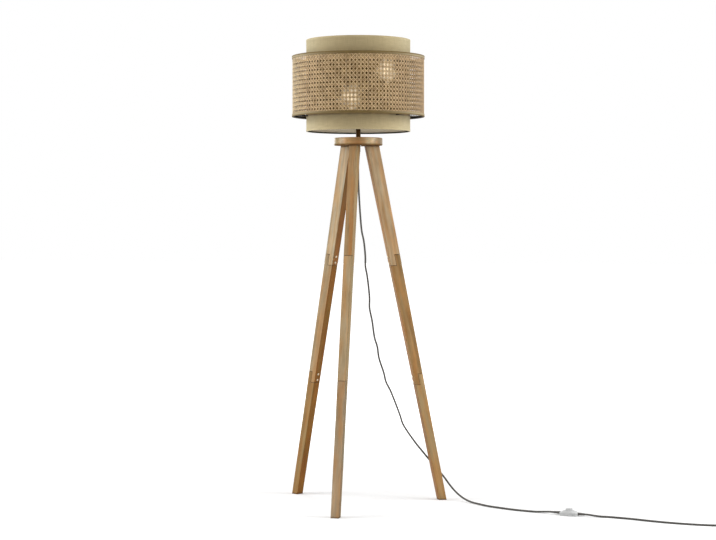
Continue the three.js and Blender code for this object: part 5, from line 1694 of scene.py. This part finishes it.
def levels():
    """Pairs of level strands, closed round the drum, with one pair more in the top row. Each passes
    over one upright of a pair and under the other."""
    steps = CANE_COLUMNS * 4 + 1
    level = np.repeat(FIRST_ROW + np.array([*range(CANE_ROWS + 1), CANE_ROWS - 0.5]) * ROW, 2)
    side = np.tile([-1.0, 1.0], CANE_ROWS + 2)
    angle = np.broadcast_to(np.linspace(0, TURN, steps), (len(level), steps))
    closed = np.sin(angle / 2) ** 0.2
    height = (level + side * PAIR_OFFSET)[:, None] + wander(len(level), steps, WANDER) * closed
    return strands("cane_levels", angle, height, np.cos(angle / COLUMN * TURN) * LEVEL_WAVE)


def diagonals(name, slant):
    """Diagonals one way between the pairs' crossings: those of one slant pass over the uprights and
    under the level strands, and those of the other slant the other way round."""
    steps = int((CANE_ROWS + 2 * DIAGONAL_OVERRUN) * 4) + 1
    way = np.linspace(-DIAGONAL_OVERRUN, CANE_ROWS + DIAGONAL_OVERRUN, steps)
    start = np.arange(CANE_COLUMNS)[:, None]
    angle = (start + slant * way) * COLUMN + wander(CANE_COLUMNS, steps, DIAGONAL_WANDER) / WEB_RADIUS
    height = np.broadcast_to(FIRST_ROW + way * ROW, angle.shape)
    lift = np.broadcast_to(DIAGONAL_LIFT - slant * DIAGONAL_WAVE * np.cos(way * TURN), angle.shape)
    # The paler cane_skin paints highlights on the diagonals.
    return strands(name, angle, height, lift, DIAGONAL_WIDTH, finish="cane_skin")


def cane_trim(node, sides=240):
    """The strip along an edge of the cane drum: a flat band with rounded rims and a fine bead at each
    of them. The beads are bell curves, and the rims follow a smooth step."""
    low, high = heights(node)
    outer = radius_of(node) + PROUD
    inner = outer - TRIM_THICKNESS - PROUD
    way = np.linspace(0, 1, 25)
    bead = sum(TRIM_BEAD * np.exp(-((way - at) / 0.05) ** 2) for at in (0.1, 0.9))
    rounding = TRIM_ROUNDING * (1 - smooth(np.minimum(way, 1 - way) / 0.06))
    outside = np.stack([outer - TRIM_INSET + bead - rounding, low + (high - low) * way], -1)
    inside = np.array([[inner, high - TRIM_EDGE], [inner, low + TRIM_EDGE]])
    along = np.append(way, [1.1, 1.2]) * TRIM_HEIGHT
    skins = Skins()
    skins.add(lathe(np.concatenate([outside, inside]), sides), round_uv(outer, along, sides), tone=0.55,
              loop=True, capped=False)
    return dressed(node, skins, "cane_edge", 60)


uprights()
levels()
diagonals("cane_diagonals_left", -1.0)
diagonals("cane_diagonals_right", 1.0)
cane_trim("cane_trim_top")
cane_trim("cane_trim_bottom")


# Floor, background and lights

FLOOR_HALF = 30.0
FLOOR_GLOW = 0.085
FLOOR_FADE = (0.9, 2.4)  # metres from the lamp over which the floor's own light grows to white
SURROUND_FILL = 0.42
AIM = Vector((0, 0, 0.8))
# Name, bearing from the front in degrees towards +X, distance, height, size and power
LAMPS = [
    ("window_left", -70, 3.8, 2.2, (2.4, 2.4), 124),
    ("window_right", 94, 3.8, 2.2, (2.2, 2.4), 112),
    ("window_narrow", 60, 3.8, 1.9, (0.9, 2.2), 16),
    ("back_left", -140, 3.8, 2.2, (2.0, 2.4), 30),
    ("overhead", 0, 0.4, 4.2, (2.6, 2.6), 40),
]


def seen_directly(g):
    """One for rays from the camera, straight, by reflection or through glass, and zero for others."""
    path = g.add("ShaderNodeLightPath").outputs
    return g.most(path["Is Camera Ray"], g.most(path["Is Glossy Ray"], path["Is Transmission Ray"]))


def floor():
    """A pale floor that keeps the lamp's shadow and fades to white away from it."""
    mesh = bpy.data.meshes.new("floor")
    corners = [(x * FLOOR_HALF, y * FLOOR_HALF, 0) for x, y in ((-1, -1), (1, -1), (1, 1), (-1, 1))]
    mesh.from_pydata(corners, [], [(0, 1, 2, 3)])
    g, sockets = material("floor_white", Base_Color=(0.82, 0.82, 0.82), Roughness=0.9,
                          Specular_IOR_Level=0.0, Emission_Color=(1, 1, 1))
    glow = g.level(g.vectors("LENGTH", g.coordinates())[1], *FLOOR_FADE, FLOOR_GLOW, 1.0)
    g.feed(sockets["Emission Strength"], g.times(seen_directly(g), glow))
    mesh.materials.append(MATERIALS["floor_white"])
    linked("floor", mesh)


def surround():
    """A white surround, which lights the lamp less brightly than it looks."""
    world = bpy.data.worlds.new("surround")
    bpy.context.scene.world = world
    world.use_nodes = True
    g = Graph(world.node_tree)
    background = world.node_tree.nodes["Background"].inputs
    g.feed(background["Color"], (1, 1, 1))
    g.feed(background["Strength"], g.level(seen_directly(g), 0, 1, SURROUND_FILL, 1.0))


def window(name, bearing, distance, height, size, power):
    """A soft lamp that shines on the middle of the object and isn't seen itself."""
    data = bpy.data.lights.new(name, "AREA")
    data.shape = "RECTANGLE"
    data.size, data.size_y = size
    data.energy = power
    lamp = linked(name, data)
    turn = math.radians(bearing)
    lamp.location = (math.sin(turn) * distance, -math.cos(turn) * distance, height)
    lamp.rotation_euler = (AIM - lamp.location).to_track_quat("-Z", "Y").to_euler()
    lamp.visible_camera = False


floor()
surround()
for lamp_row in LAMPS:
    window(*lamp_row)

bpy.context.scene.view_settings.view_transform = "Standard"
